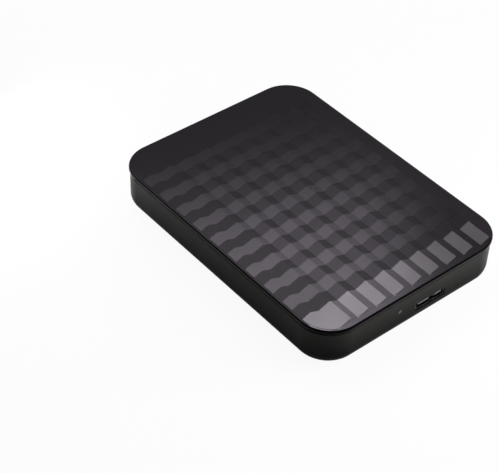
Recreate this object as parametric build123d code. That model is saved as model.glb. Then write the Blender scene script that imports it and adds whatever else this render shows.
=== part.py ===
from build123d import *
import os
from math import acos, asin, ceil, cos, degrees, hypot, radians, sin

# A portable external hard drive, in millimetres.
# The origin is the middle of the underside, the socket faces -Y and +Z is up.

# Case: upright wall, lid that stands out over it, underside that tucks in below a rounded knee
wall = 1.6
setback = 0.4
corner_radius = 12.3
tuck_height = 2.5
tuck_depth = 6.4
knee_radius = 4.7
lid_plate = 1.6
lid_edge_radius = 0.6
lid_under_radius = 0.25
shadow_gap = 0.75
shadow_depth = 0.8
lip_radius = 0.3

# Room between the drive and the case
side_gap = 4.075
front_gap = 1.8
rear_gap = 5.85
pad_below = 3.9
gap_above = 1.0
soft_gap = 0.1
bumper_grip = 11.0

# Raised check on the lid, in bands across and bands along
check_relief = 0.05
check_margin = 0.9
column_pitch = 7.9
column_width = 5.4
column_count = 8
column_start = 15.5
edge_column_start = 1.0
edge_column_width = 12.5
row_pitch = 9.35
row_width = 4.7
row_count = 9
row_start = 17.6
edge_row_start = 2.5
edge_row_width = 10.0
row_rise = 1.1

# Rim and snap hooks below the lid
rim_clearance = 0.1
rim_thickness = 1.2
rim_depth = 4.0
hook_reach = 0.6
hook_height = 1.2
hook_length = 8.0
hook_drop = 2.2
hook_clearance = 0.15
hook_pitch_long = 34.0
hook_pitch_short = 44.0

# Ribs on the case floor, between the corner cups
rib_thickness = 1.0
rib_height = 2.0
rib_pitch = 18.0
rib_length = 60.0

# Platter stack
platter_radius = 32.5
platter_bore_radius = 10.0
platter_thickness = 0.65
disk_clearance = 1.1
fly_gap = 0.15
slider_thickness = 0.3
suspension_thickness = 0.1
arm_thickness = 0.6
arm_floor_gap = 0.35
cover_gap = 0.35

# Drive housing
disk_side_wall = 1.325
rear_wall = 1.6
front_block = 6.5
bay_side_wall = 2.2
bay_clearance = 0.35
bay_overlap = 10.0
bay_corner = 3.0
drive_corner = 2.5
base_floor = 0.7
seal_thickness = 0.4
seal_offset = 0.1
seal_width = 1.1
cover_thickness = 0.6
cover_inset = 0.3
cover_stamp_depth = 0.2
cover_stamp_radius = 9.0
rail_width = 7.5
motor_relief_depth = 1.0
motor_relief_inner = 8.0
motor_relief_inset = 6.5
mount_hole_radius = 1.25
mount_hole_depth = 2.0
mount_hole_inset = 4.065
mount_hole_front = 14.0
mount_hole_spacing = 76.6

# Cover screws
screw_head_radius = 1.6
screw_head_height = 0.35
screw_shank_radius = 0.8
screw_length = 3.6
screw_recess_radius = 0.75
screw_recess_depth = 0.2
screw_clearance = 0.1
screw_boss_radius = 2.2
screw_end_inset = 3.2
screw_side_inset = 3.8
screw_waist_inset = 2.7
screw_waist_rise = 4.0

# Spindle motor
hub_clearance = 0.03
hub_flange_radius = 12.0
hub_flange_thickness = 0.8
hub_floor_gap = 0.3
hub_cup_radius = 8.6
hub_roof_thickness = 1.5
shaft_radius = 1.6
running_clearance = 0.03
sleeve_radius = 3.6
sleeve_foot = 0.8
sleeve_floor = 0.3
sleeve_roof_gap = 0.3
shaft_end_gap = 0.05
magnet_ring_thickness = 1.0
magnet_ring_height = 2.2
magnet_ring_lift = 0.2
motor_air_gap = 0.2
stator_thickness = 1.2
stator_ring_width = 1.0
stator_tooth_width = 1.0
stator_tip_thickness = 0.4
stator_tip_angle = 30.0
stator_teeth = 9
winding_width = 2.0
winding_height = 1.9
winding_end_gap = 0.3
clamp_radius = 12.5
clamp_thickness = 0.6
clamp_tool_holes = 6
clamp_tool_ring = 7.0
clamp_tool_radius = 0.6
clamp_screw_head_radius = 2.2
clamp_screw_head_height = 0.5
clamp_screw_radius = 0.9
clamp_screw_length = 2.8
thread_clearance = 0.05

# Actuator
pivot_clearance = 0.56
pivot_turn = 16.14
barrel_radius = 6.5
pivot_sleeve_radius = 5.0
pivot_shaft_radius = 2.5
pivot_flange_radius = 4.0
pivot_flange_thickness = 0.2
pivot_end_gap = 0.05
head_shortfall = 6.56
park_overrun = 1.7
inner_track = 14.0
suspension_reach = 11.0
arm_tip_radius = 2.4
arm_hole_radius = 1.6
arm_hole_back = 9.5
suspension_overlap = 3.5
suspension_half_width = 2.0
suspension_tip_half_width = 0.7
tab_half_width = 0.35
tab_length = 3.0
slider_length = 1.25
slider_width = 1.0
preamp_flat = 5.9
preamp_thickness = 0.3
preamp_width = 2.5
preamp_height = 1.3
preamp_lift = 0.2
preamp_clearance = 0.2

# Voice-coil motor
coil_turn = 28.0
coil_inner = 9.6
coil_outer = 19.5
coil_half_angle = 20.0
coil_side = 2.75
coil_corner = 1.2
coil_thickness = 2.0
coil_gap = 0.35
prong_angle = 8.0
prong_reach = 18.5
yoke_inner = 8.2
yoke_radius = 20.3
yoke_thickness = 0.7
yoke_margin = 8.2
yoke_wall_gap = 0.1
vcm_magnet_thickness = 0.75
vcm_magnet_inset = 0.6
vcm_magnet_end = 10.0
post_inner = 10.0
post_outer = 15.5
post_angle = 4.0
post_gap_angle = 3.5
stop_radius = 1.0
stop_ring = 18.0
stop_gap = 0.15

# Parking ramp, as an arc about the actuator's axis
ramp_tab_start_gap = 0.775
ramp_spine = 2.3
ramp_tab_gap = 0.3
ramp_angle_back = 6.0
ramp_angle_ahead = 9.0
ramp_platter_gap = 0.5
ramp_touch_gap = 0.05
ramp_open_gap = 0.35
ramp_top_height = 0.3
ramp_wall_gap = 0.3

# Filters
breather_radius = 5.0
breather_thickness = 1.0
breather_hole_radius = 0.6
breather_inset = 7.725
breather_front = 11.5
filter_length = 7.0
filter_thickness = 2.4
filter_height = 4.8
filter_side_inset = 5.4
filter_mouth_inset = 4.8

# Circuit board and what it carries
board_rise = 0.4
board_thickness = 0.8
board_clearance = 0.3
board_length = 47.2
chip_room = 1.0
insulator_thickness = 0.2
insulator_front = 8.0
board_boss_radius = 2.0
board_screw_inset = 2.9
board_screw_front = 4.0
board_screw_rear = 3.6
board_screw_head_radius = 1.5
board_screw_radius = 0.7
board_screw_reach = 1.2
controller_size = 9.0
controller_thickness = 0.7
controller_inset = 15.425
controller_front = 28.0
memory_length = 10.0
memory_width = 8.0
memory_thickness = 0.65
memory_gap = 5.0
memory_front = 33.0
driver_size = 6.0
driver_thickness = 0.6
driver_inset = 8.425
driver_front = 36.0
bridge_size = 5.0
bridge_thickness = 0.6
bridge_gap = 2.5
bridge_front = 13.5
crystal_length = 3.2
crystal_width = 2.5
crystal_thickness = 0.55
crystal_gap = 3.4
crystal_front = 13.5
inductor_size = 4.0
inductor_thickness = 0.7
inductor_inset = 11.425
inductor_front = 13.5
capacitor_length = 1.6
capacitor_width = 0.8
capacitor_thickness = 0.6
capacitor_pitch = 2.0
capacitor_columns = 6
capacitor_rows = 2
capacitor_inset = 5.425
capacitor_front = 20.0
led_length = 1.6
led_width = 0.8
led_thickness = 0.7

# Flexible wiring from the arm to the board
connector_length = 12.0
connector_width = 2.6
connector_height = 3.2
connector_inset = 17.725
connector_front = 15.0
connector_clearance = 0.2
bracket_length = 14.0
bracket_thickness = 1.2
bracket_height = 4.6
bracket_foot = 3.4
bracket_foot_thickness = 0.8
bracket_gap = 0.7
ribbon_thickness = 0.12
ribbon_height = 3.0
ribbon_lift = 1.3
ribbon_barrel_gap = 0.3
ribbon_angle = 300.0
ribbon_sag = 3.5
ribbon_lead = 0.5

# Shield below the board
shield_thickness = 0.2
shield_flange = 3.0
shield_neck = 40.0
shield_front = 1.0
shield_cup_gap = 1.0

# Socket, seen from the front: a wide part with two bevelled lower corners, a waist and a narrow part
port_x = 6.1
port_width = 12.4
port_height = 2.0
port_wide = 7.2
port_narrow = 4.2
port_waist_height = 1.2
port_bevel = 0.6
port_shell = 0.3
port_depth = 6.4
port_recess = 0.3
port_clearance = 0.2
port_roof_gap = 0.3
port_insert_depth = 1.8
tongue_thickness = 0.6
tongue_lift = 0.25
tongue_recess = 0.3
tongue_wide = 4.6
tongue_narrow = 2.9
contact_width = 0.3
contact_thickness = 0.1
contact_length = 3.2
contact_count = 5
contact_pitch_wide = 0.65
contact_pitch_narrow = 0.5

# Activity lamp
lamp_x = -7.8
lamp_height = 10.4
lamp_radius = 0.7
lamp_clearance = 0.05
lamp_bar_width = 2.0
lamp_bar_depth = 1.2
lamp_bar_top = 1.2

# Heights inside the drive, from its underside
board_top = board_rise + board_thickness
recess_ceiling = board_top + chip_room
cavity_floor = recess_ceiling + base_floor
low_arm = cavity_floor + arm_floor_gap
low_suspension = low_arm + arm_thickness
low_platter = low_suspension + suspension_thickness + slider_thickness + fly_gap
low_platter_top = low_platter + platter_thickness
mid_lower_suspension = low_platter_top + fly_gap + slider_thickness
mid_arm = mid_lower_suspension + suspension_thickness
mid_upper_suspension = mid_arm + arm_thickness
high_platter = mid_upper_suspension + suspension_thickness + slider_thickness + fly_gap
high_platter_top = high_platter + platter_thickness
high_suspension = high_platter_top + fly_gap + slider_thickness
high_arm = high_suspension + suspension_thickness
barrel_top = high_arm + arm_thickness
cover_under = barrel_top + cover_gap
rim_top = cover_under - seal_thickness
drive_height = cover_under + cover_thickness

# Plan of the drive and the case
pocket_radius = platter_radius + disk_clearance
drive_width = 2 * (pocket_radius + disk_side_wall)
pivot_distance = platter_radius + barrel_radius + pivot_clearance
head_reach = pivot_distance - head_shortfall
arm_reach = head_reach - suspension_reach
arm_hole_reach = arm_reach - arm_hole_back
suspension_start = arm_reach - suspension_overlap
pivot_x = -pivot_distance * sin(radians(pivot_turn))
pivot_front = pivot_distance * cos(radians(pivot_turn))
spindle_front = pivot_front + yoke_radius + bay_clearance + front_block
drive_length = spindle_front + pocket_radius + rear_wall
case_width = drive_width + 2 * (side_gap + wall + setback)
case_length = drive_length + front_gap + rear_gap + 2 * (wall + setback)
drive_bottom = wall + pad_below
drive_top = drive_bottom + drive_height
lid_under = drive_top + gap_above
case_height = lid_under + lid_plate
wall_top = lid_under - shadow_gap
rim_low = lid_under - rim_depth
drive_front = setback + wall + front_gap - case_length / 2
drive_rear = drive_front + drive_length
drive_middle = (drive_front + drive_rear) / 2
wall_inner_front = setback + wall - case_length / 2
spindle_y = drive_front + spindle_front
pivot_y = spindle_y - pivot_front
bay_front = drive_front + front_block
bay_rear = spindle_y - platter_radius + bay_overlap
bay_half = drive_width / 2 - bay_side_wall
board_half = drive_width / 2 - rail_width
recess_rear = drive_front + board_clearance + board_length + board_clearance

# Directions of the actuator, in degrees from +X about its axis
to_spindle = 90 - pivot_turn
park_radius = platter_radius + park_overrun


def swing_to(track_radius):
    """Angle between the arm and the line to the spindle when the head is over a track."""
    reach_squares = pivot_distance**2 + head_reach**2 - track_radius**2
    return degrees(acos(reach_squares / (2 * pivot_distance * head_reach)))


park_direction = to_spindle - swing_to(park_radius)
swing = swing_to(park_radius) - swing_to(inner_track)
coil_direction = park_direction + 180 + coil_turn
prong_half_angle = coil_half_angle + prong_angle
sweep_half_angle = prong_half_angle + swing / 2
yoke_direction = coil_direction + swing / 2
yoke_half_angle = sweep_half_angle + yoke_margin

# Heights of the voice-coil motor
low_magnet = cavity_floor + yoke_thickness
coil_low = low_magnet + vcm_magnet_thickness + coil_gap
coil_high = coil_low + coil_thickness
high_magnet = coil_high + coil_gap
high_yoke = high_magnet + vcm_magnet_thickness

nodes = {}


def plate(outline, low, high):
    """Solid between two heights over a plan outline."""
    return extrude(Pos(0, 0, low) * outline, high - low)


def block(x_low, x_high, y_low, y_high, low, high):
    """Upright box between the given bounds."""
    outline = Pos((x_low + x_high) / 2, (y_low + y_high) / 2) * Rectangle(x_high - x_low, y_high - y_low)
    return plate(outline, low, high)


def ring(outer, inner):
    """Plan outline of a flat ring about the origin."""
    return Circle(outer) - Circle(inner)


def sector(inner, outer, start, end):
    """Plan outline of part of a ring about the origin, between two directions in degrees."""
    outside = CenterArc((0, 0), outer, start, end - start)
    inside = CenterArc((0, 0), inner, start, end - start)
    first_side = Line(inside @ 0, outside @ 0)
    last_side = Line(inside @ 1, outside @ 1)
    return make_face([outside, inside, first_side, last_side])


def turned(profile):
    """Solid of revolution about Z from corner points of radius and height."""
    outline = make_face(Polyline(*profile, close=True))
    return revolve(Plane.XZ * outline, Axis.Z)


def on_drive(piece):
    """Lifts a piece drawn from the drive's underside to its place in the case."""
    return Pos(0, 0, drive_bottom) * piece


def at_spindle(piece):
    """Moves a piece drawn about the spindle axis to its place."""
    return on_drive(Pos(0, spindle_y, 0) * piece)


def at_pivot(piece, direction=0.0):
    """Moves a piece drawn about the actuator axis to its place, turned to a direction."""
    return on_drive(Pos(pivot_x, pivot_y, 0) * Rot(0, 0, direction) * piece)


def case_plan(inset):
    """Plan of the lid's outline, drawn in."""
    return RectangleRounded(case_width - 2 * inset, case_length - 2 * inset, corner_radius - inset)


def tub_form(inset, floor, top):
    """Solid form of the lower case, drawn in from its outer face, between a floor and a top height."""
    slope = hypot(tuck_height, tuck_depth)
    knee_lift = tuck_depth / slope - (1 - tuck_height / slope) * tuck_height / tuck_depth
    knee = tuck_height + inset * knee_lift
    rise = knee - floor
    run = rise * tuck_depth / tuck_height
    form = plate(case_plan(setback + inset), floor, top)
    underside = form.faces().sort_by(Axis.Z)[0]
    form = chamfer(underside.edges(), length=run, length2=rise, reference=underside)
    knee_edges = [edge for edge in form.edges() if abs(edge.center().Z - knee) < 0.001]
    return fillet(knee_edges, knee_radius - inset)


def drive_plan(inset):
    """Plan of the drive's housing, drawn in."""
    outline = RectangleRounded(drive_width - 2 * inset, drive_length - 2 * inset, drive_corner - inset)
    return Pos(0, drive_middle) * outline


def cavity_plan(grow):
    """Plan of the sealed cavity: a round pocket for the platters and a bay for the actuator."""
    pocket = Pos(0, spindle_y) * Circle(pocket_radius + grow)
    bay_size = (2 * (bay_half + grow), bay_rear - bay_front + 2 * grow)
    bay = Pos(0, (bay_front + bay_rear) / 2) * RectangleRounded(*bay_size, bay_corner + grow)
    return pocket + bay


def row_plan(start, width):
    """Plan of a row of the check, whose edges rise across each column and fall back between columns."""
    near_side = []
    for index in range(-ceil(column_start / column_pitch), column_count):
        left = column_start + index * column_pitch - case_width / 2
        near_side.append((left, start - row_rise / 2 - case_length / 2))
        near_side.append((left + column_width, start + row_rise / 2 - case_length / 2))
    far_side = [(x, y + width) for x, y in reversed(near_side)]
    return make_face(Polyline(*near_side, *far_side, close=True))


def screw(head_radius, head_height, shank_radius, length):
    """Flat-headed screw with a six-sided recess, its head's top at height 0 and its shank downwards."""
    head = plate(Circle(head_radius), -head_height, 0)
    shank = plate(Circle(shank_radius), -head_height - length, -head_height)
    recess = plate(RegularPolygon(screw_recess_radius, 6), -screw_recess_depth, 0)
    return head + shank - recess


# Places of the hooks: distance out to the rim's face, place along the side and turn about Z
rim_inset = setback + wall + rim_clearance
hook_places = []
for turn in (0, 180):
    for step in (-1, 0, 1):
        hook_places.append((case_width / 2 - rim_inset, step * hook_pitch_long, turn))
for turn in (90, 270):
    for step in (-0.5, 0.5):
        hook_places.append((case_length / 2 - rim_inset, step * hook_pitch_short, turn))
hook_low = lid_under - hook_drop - hook_height

# Socket's plan on the front wall
port_floor = drive_bottom + board_top + port_shell
port_middle = port_floor + port_height / 2
port_mouth = port_recess + setback - case_length / 2
port_plane = Plane(origin=(port_x, port_mouth, port_middle), x_dir=(1, 0, 0), z_dir=(0, -1, 0))


def port_plan(grow):
    """Outline of the socket, grown all round: the wide part on the left, the narrow part on the right."""
    wide_size = (port_wide + 2 * grow, port_height + 2 * grow)
    wide = Rectangle(*wide_size)
    wide = chamfer(wide.vertices().group_by(Axis.Y)[0], port_bevel)
    narrow = Rectangle(port_narrow + 2 * grow, port_height + 2 * grow)
    waist = Rectangle(port_width - grow, port_waist_height + 2 * grow)
    wide_middle = (port_wide - port_width) / 2
    narrow_middle = (port_width - port_narrow) / 2
    return Pos(wide_middle, 0) * wide + Pos(narrow_middle, 0) * narrow + waist


def port_run(outline, start, end):
    """Solid along the socket between two depths behind its mouth."""
    return extrude(port_plane.offset(-end) * outline, end - start)


# Lid
lid_face = case_height - 2 * check_relief
lid = plate(case_plan(0), lid_under, lid_face)
lid = fillet(lid.edges().group_by(Axis.Z)[-1], lid_edge_radius)
lid = fillet(lid.edges().group_by(Axis.Z)[0], lid_under_radius)
columns = Rectangle(edge_column_width, case_length)
columns = Pos(edge_column_start + (edge_column_width - case_width) / 2, 0) * columns
for index in range(column_count):
    column_x = column_start + column_width / 2 + index * column_pitch - case_width / 2
    columns = columns + Pos(column_x, 0) * Rectangle(column_width, case_length)
rows = row_plan(edge_row_start, edge_row_width)
for index in range(row_count):
    rows = rows + row_plan(row_start + index * row_pitch, row_width)
check_end = row_start + row_width + (row_count - 1) * row_pitch + row_rise / 2
field_length = check_end - edge_row_start
field = Pos(0, edge_row_start + (field_length - case_length) / 2) * Rectangle(case_width, field_length)
field = field & case_plan(check_margin)
lid = lid + plate((columns + rows) & field, lid_face, lid_face + check_relief)
lid = lid + plate((columns & rows) & field, lid_face, case_height)
rim_runs = Rectangle(case_width, case_length - 2 * corner_radius)
rim_runs = rim_runs + Rectangle(case_width - 2 * corner_radius, case_length)
rim_plan = (case_plan(rim_inset) - case_plan(rim_inset + rim_thickness)) & rim_runs
lid = lid + plate(rim_plan, rim_low, lid_under)
hook_outline = make_face(Polyline((0, 0), (hook_reach, hook_height), (0, hook_height), close=True))
hook = extrude(Plane.XZ * hook_outline, hook_length / 2, both=True)
for reach, along, turn in hook_places:
    lid = lid + Rot(0, 0, turn) * Pos(reach, along, hook_low) * hook
nodes["top_cover"] = lid

# Lower case
tray = tub_form(0, 0, wall_top)
tray = fillet(tray.edges().group_by(Axis.Z)[-1], lip_radius)
tray = tray + plate(case_plan(setback + shadow_depth), wall_top - wall, lid_under)
tray = tray - tub_form(wall, wall, lid_under)
window_reach = hook_reach + hook_clearance
window_size = (window_reach, hook_length + 2 * hook_clearance, hook_height + 2 * hook_clearance)
window = Pos(window_size[0] / 2, 0, hook_height / 2) * Box(*window_size)
for reach, along, turn in hook_places:
    tray = tray - Rot(0, 0, turn) * Pos(reach, along, hook_low) * window
for step in (-1, 0, 1):
    rib_x = step * rib_pitch
    tray = tray + block(rib_x - rib_thickness / 2, rib_x + rib_thickness / 2,
                        -rib_length / 2, rib_length / 2, wall / 2, wall + rib_height)
front_reach = wall + setback + front_gap
tray = tray - port_run(port_plan(port_shell + port_clearance), -front_reach, front_gap)
lamp_axis = Pos(lamp_x, wall_inner_front, lamp_height) * Rot(90, 0, 0)
tray = tray - lamp_axis * Cylinder(lamp_radius + lamp_clearance, 3 * wall)
nodes["bottom_case"] = tray

# Lamp's light pipe: a nose through the wall on a bar that comes down to the lamp on the board
nose = extrude(Plane(lamp_axis.position, z_dir=(0, -1, 0)) * Circle(lamp_radius), wall)
lamp_low = drive_bottom + board_top
bar = block(lamp_x - lamp_bar_width / 2, lamp_x + lamp_bar_width / 2, wall_inner_front,
            wall_inner_front + lamp_bar_depth, lamp_low, lamp_height + lamp_bar_top)
nodes["light_pipe"] = nose + bar

# Corner cups that hold the drive clear of the case
soft_form = tub_form(wall + soft_gap, wall, rim_low - soft_gap)
soft_inset = rim_inset + rim_thickness + soft_gap
soft_form = soft_form + plate(case_plan(soft_inset), rim_low - 2 * soft_gap, lid_under)
soft_form = soft_form - plate(drive_plan(0), drive_bottom, drive_top)
grip_x = drive_width / 2 - bumper_grip
for side_name, side in (("left", -1), ("right", 1)):
    for end_name, end, edge in (("front", -1, drive_front), ("rear", 1, drive_rear)):
        x_bounds = sorted((side * grip_x, side * case_width / 2))
        y_bounds = sorted((edge - end * bumper_grip, end * case_length / 2))
        nodes[f"bumper_{end_name}_{side_name}"] = soft_form & block(*x_bounds, *y_bounds, 0, case_height)

# Drive housing
cover_screw_places = []
for side in (-1, 1):
    corner_x = side * (drive_width / 2 - screw_side_inset)
    cover_screw_places.append((corner_x, drive_front + screw_end_inset))
    cover_screw_places.append((corner_x, drive_rear - screw_end_inset))
    cover_screw_places.append((side * (drive_width / 2 - screw_waist_inset), bay_rear + screw_waist_rise))
board_screw_places = []
for side in (-1, 1):
    board_screw_x = side * (board_half - board_screw_inset)
    board_screw_places.append((board_screw_x, drive_front + board_screw_front))
    board_screw_places.append((board_screw_x, recess_rear - board_screw_rear))
connector_x = bay_half - connector_inset
connector_y = drive_front + connector_front
connector_plan = Pos(connector_x, connector_y) * Rectangle(connector_length, connector_width)
slot_size = (connector_length + 2 * connector_clearance, connector_width + 2 * connector_clearance)
connector_slot = Pos(connector_x, connector_y) * Rectangle(*slot_size)

base = plate(drive_plan(0), 0, rim_top) - plate(cavity_plan(0), cavity_floor, rim_top)
relief = plate(ring(platter_radius - motor_relief_inset, motor_relief_inner), 0, motor_relief_depth)
base = base - Pos(0, spindle_y, 0) * relief
base = base - block(-board_half, board_half, drive_front - front_gap, recess_rear, 0, recess_ceiling)
for x, y in board_screw_places:
    boss = plate(Circle(board_boss_radius), board_top, recess_ceiling)
    hole = plate(Circle(board_screw_radius + thread_clearance), board_top, board_top + board_screw_reach)
    base = base + Pos(x, y, 0) * boss - Pos(x, y, 0) * hole
for x, y in cover_screw_places:
    boss = (Pos(x, y) * Circle(screw_boss_radius)) & drive_plan(cover_inset)
    boss = plate(boss - cavity_plan(seal_offset + seal_width), rim_top, cover_under)
    hole = plate(Circle(screw_shank_radius + thread_clearance), cover_under - screw_length, cover_under)
    base = base + boss - Pos(x, y, 0) * hole
base = base - Pos(0, spindle_y, 0) * plate(Circle(sleeve_radius), 0, cavity_floor)
base = base - plate(connector_slot, 0, cavity_floor)
yoke_room = sector(yoke_inner, yoke_radius + yoke_wall_gap, -yoke_half_angle, yoke_half_angle)
yoke_room = plate(yoke_room, cavity_floor, rim_top)
base = base - Pos(pivot_x, pivot_y, 0) * Rot(0, 0, yoke_direction) * yoke_room
port_half = port_width / 2 + port_shell + port_clearance
port_back = port_mouth + port_depth + port_clearance
port_roof = board_top + 2 * port_shell + port_height + port_roof_gap
base = base - block(port_x - port_half, port_x + port_half, drive_front, port_back, 0, port_roof)
for side in (-1, 1):
    for step in (0, 1):
        hole_y = drive_front + mount_hole_front + step * mount_hole_spacing
        hole_x = side * (drive_width / 2 - mount_hole_inset)
        base = base - Pos(hole_x, hole_y, 0) * plate(Circle(mount_hole_radius), 0, mount_hole_depth)
nodes["drive_base"] = on_drive(base)

breather_x = bay_half - breather_inset
breather_y = drive_front + breather_front
cover = plate(drive_plan(cover_inset), cover_under, drive_height)
stamp = plate(Circle(cover_stamp_radius), drive_height - cover_stamp_depth, drive_height)
cover = cover - Pos(0, spindle_y, 0) * stamp
for x, y in cover_screw_places + [(pivot_x, pivot_y)]:
    seat = plate(Circle(screw_head_radius + screw_clearance), drive_height - screw_head_height, drive_height)
    hole = plate(Circle(screw_shank_radius + 2 * screw_clearance), cover_under, drive_height)
    cover = cover - Pos(x, y, 0) * seat - Pos(x, y, 0) * hole
breather_hole = plate(Circle(breather_hole_radius), cover_under, drive_height)
cover = cover - Pos(breather_x, breather_y, 0) * breather_hole
nodes["drive_cover"] = on_drive(cover)

seal = cavity_plan(seal_offset + seal_width) - cavity_plan(seal_offset)
nodes["cover_seal"] = on_drive(plate(seal, rim_top, cover_under))

cover_screw = screw(screw_head_radius, screw_head_height, screw_shank_radius, screw_length - cover_thickness)
screws = [on_drive(Pos(x, y, drive_height) * cover_screw) for x, y in cover_screw_places]
nodes["cover_screws"] = Compound(screws)
nodes["pivot_screw"] = at_pivot(Pos(0, 0, drive_height) * cover_screw)

breather = plate(Circle(breather_radius), cover_under - breather_thickness, cover_under)
nodes["breather_filter"] = on_drive(Pos(breather_x, breather_y, 0) * breather)
filter_x = filter_side_inset - bay_half
filter_y = bay_rear - filter_mouth_inset
pillow = plate(RectangleRounded(filter_length, filter_thickness, filter_thickness / 3), 0, filter_height)
nodes["recirculation_filter"] = on_drive(Pos(filter_x, filter_y, cavity_floor) * Rot(0, 0, 45) * pillow)

# Spindle motor, fixed half
hub_low = cavity_floor + hub_floor_gap
hub_roof = high_platter_top - hub_roof_thickness
sleeve_top = hub_roof - sleeve_roof_gap
sleeve_bore = shaft_radius + running_clearance
sleeve_well = sleeve_foot + sleeve_floor
sleeve_profile = [(0, sleeve_foot), (sleeve_radius, sleeve_foot), (sleeve_radius, sleeve_top),
                  (sleeve_bore, sleeve_top), (sleeve_bore, sleeve_well), (0, sleeve_well)]
nodes["spindle_sleeve"] = at_spindle(turned(sleeve_profile))

magnet_inner = hub_cup_radius - magnet_ring_thickness
magnet_low = hub_low + magnet_ring_lift
stator_outer = magnet_inner - motor_air_gap
tip_inner = stator_outer - stator_tip_thickness
core_outer = sleeve_radius + stator_ring_width
stator_low = magnet_low + (magnet_ring_height - stator_thickness) / 2
stator_plan = ring(core_outer, sleeve_radius)
tooth_run = tip_inner - core_outer + stator_tip_thickness
tooth = Pos((core_outer + tip_inner) / 2, 0) * Rectangle(tooth_run, stator_tooth_width)
tip = sector(tip_inner, stator_outer, -stator_tip_angle / 2, stator_tip_angle / 2)
winding_middle = stator_low + stator_thickness / 2
winding_run = tip_inner - core_outer - 2 * winding_end_gap
winding = Box(winding_run, winding_width, winding_height)
winding = winding - Box(winding_run, stator_tooth_width, stator_thickness)
windings = []
for index in range(stator_teeth):
    turn = Rot(0, 0, index * 360 / stator_teeth)
    stator_plan = stator_plan + turn * tooth + turn * tip
    windings.append(at_spindle(turn * Pos((core_outer + tip_inner) / 2, 0, winding_middle) * winding))
nodes["stator_core"] = at_spindle(plate(stator_plan, stator_low, stator_low + stator_thickness))
nodes["stator_windings"] = Compound(windings)

# Spindle, turning half
barrel = platter_bore_radius - hub_clearance
flange_low = low_platter - hub_flange_thickness
hub_profile = [
    (shaft_radius, hub_roof),
    (hub_cup_radius, hub_roof),
    (hub_cup_radius, hub_low),
    (barrel, hub_low),
    (barrel, flange_low),
    (hub_flange_radius, flange_low),
    (hub_flange_radius, low_platter),
    (barrel, low_platter),
    (barrel, high_platter_top),
    (shaft_radius, high_platter_top),
]
nodes["spindle_hub"] = at_spindle(turned(hub_profile))
shaft = plate(Circle(shaft_radius), sleeve_well + shaft_end_gap, high_platter_top)
tap_floor = high_platter_top - clamp_screw_length
tapped = plate(Circle(clamp_screw_radius + thread_clearance), tap_floor, high_platter_top)
nodes["spindle_shaft"] = at_spindle(shaft - tapped)
magnet_plan = ring(hub_cup_radius, magnet_inner)
nodes["rotor_magnet"] = at_spindle(plate(magnet_plan, magnet_low, magnet_low + magnet_ring_height))
platter_plan = ring(platter_radius, platter_bore_radius)
nodes["lower_platter"] = at_spindle(plate(platter_plan, low_platter, low_platter_top))
nodes["upper_platter"] = at_spindle(plate(platter_plan, high_platter, high_platter_top))
spacer_plan = ring(hub_flange_radius, platter_bore_radius)
nodes["platter_spacer"] = at_spindle(plate(spacer_plan, low_platter_top, high_platter))
clamp_top = high_platter_top + clamp_thickness
clamp_plan = ring(clamp_radius, clamp_screw_radius + thread_clearance)
for place in PolarLocations(clamp_tool_ring, clamp_tool_holes):
    clamp_plan = clamp_plan - place * Circle(clamp_tool_radius)
nodes["disk_clamp"] = at_spindle(plate(clamp_plan, high_platter_top, clamp_top))
clamp_screw_shank = clamp_thickness + clamp_screw_length - shaft_end_gap
clamp_screw = screw(clamp_screw_head_radius, clamp_screw_head_height, clamp_screw_radius, clamp_screw_shank)
nodes["clamp_screw"] = at_spindle(Pos(0, 0, clamp_top + clamp_screw_head_height) * clamp_screw)

# Actuator's fixed axle
pivot_shaft = plate(Circle(pivot_shaft_radius), cavity_floor, cover_under)
pivot_flange_top = cavity_floor + pivot_flange_thickness
pivot_shaft = pivot_shaft + plate(Circle(pivot_flange_radius), cavity_floor, pivot_flange_top)
pivot_tap_depth = cover_under - screw_length
pivot_tap = Circle(screw_shank_radius + thread_clearance)
pivot_shaft = pivot_shaft - plate(pivot_tap, pivot_tap_depth, cover_under)
nodes["pivot_shaft"] = at_pivot(pivot_shaft)

# Actuator, swinging half, drawn with its arm along +X
sleeve_low = cavity_floor + pivot_flange_thickness + pivot_end_gap
sleeve_plan = ring(pivot_sleeve_radius, pivot_shaft_radius + running_clearance)
nodes["pivot_sleeve"] = at_pivot(plate(sleeve_plan, sleeve_low, barrel_top))
arm_plan = make_hull([Circle(barrel_radius).edge(), (Pos(arm_reach, 0) * Circle(arm_tip_radius)).edge()])
arm_plan = arm_plan - Pos(arm_hole_reach, 0) * Circle(arm_hole_radius)
actuator = plate(Circle(barrel_radius), low_arm, barrel_top)
for arm_low in (low_arm, mid_arm, high_arm):
    actuator = actuator + plate(arm_plan, arm_low, arm_low + arm_thickness)
coil_from_arm = coil_direction - park_direction
for side in (-1, 1):
    bounds = sorted((side * coil_half_angle, side * prong_half_angle))
    prong = sector(pivot_sleeve_radius, prong_reach, *bounds)
    actuator = actuator + Rot(0, 0, coil_from_arm) * plate(prong, coil_low, coil_high)
actuator = actuator - plate(Circle(pivot_sleeve_radius), low_arm, barrel_top)
preamp_low = mid_upper_suspension + preamp_lift
preamp_high = preamp_low + preamp_height
preamp_half = preamp_width / 2
chip_turn = park_direction - 90
flat_half = preamp_half + preamp_clearance
flat = block(preamp_flat, 2 * barrel_radius, -flat_half, flat_half, preamp_low, preamp_high)
nodes["actuator_block"] = at_pivot(actuator - Rot(0, 0, -90) * flat, park_direction)
preamp_face = preamp_flat + preamp_thickness
preamp = block(preamp_flat, preamp_face, -preamp_half, preamp_half, preamp_low, preamp_high)
nodes["preamp_chip"] = at_pivot(preamp, chip_turn)

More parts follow.
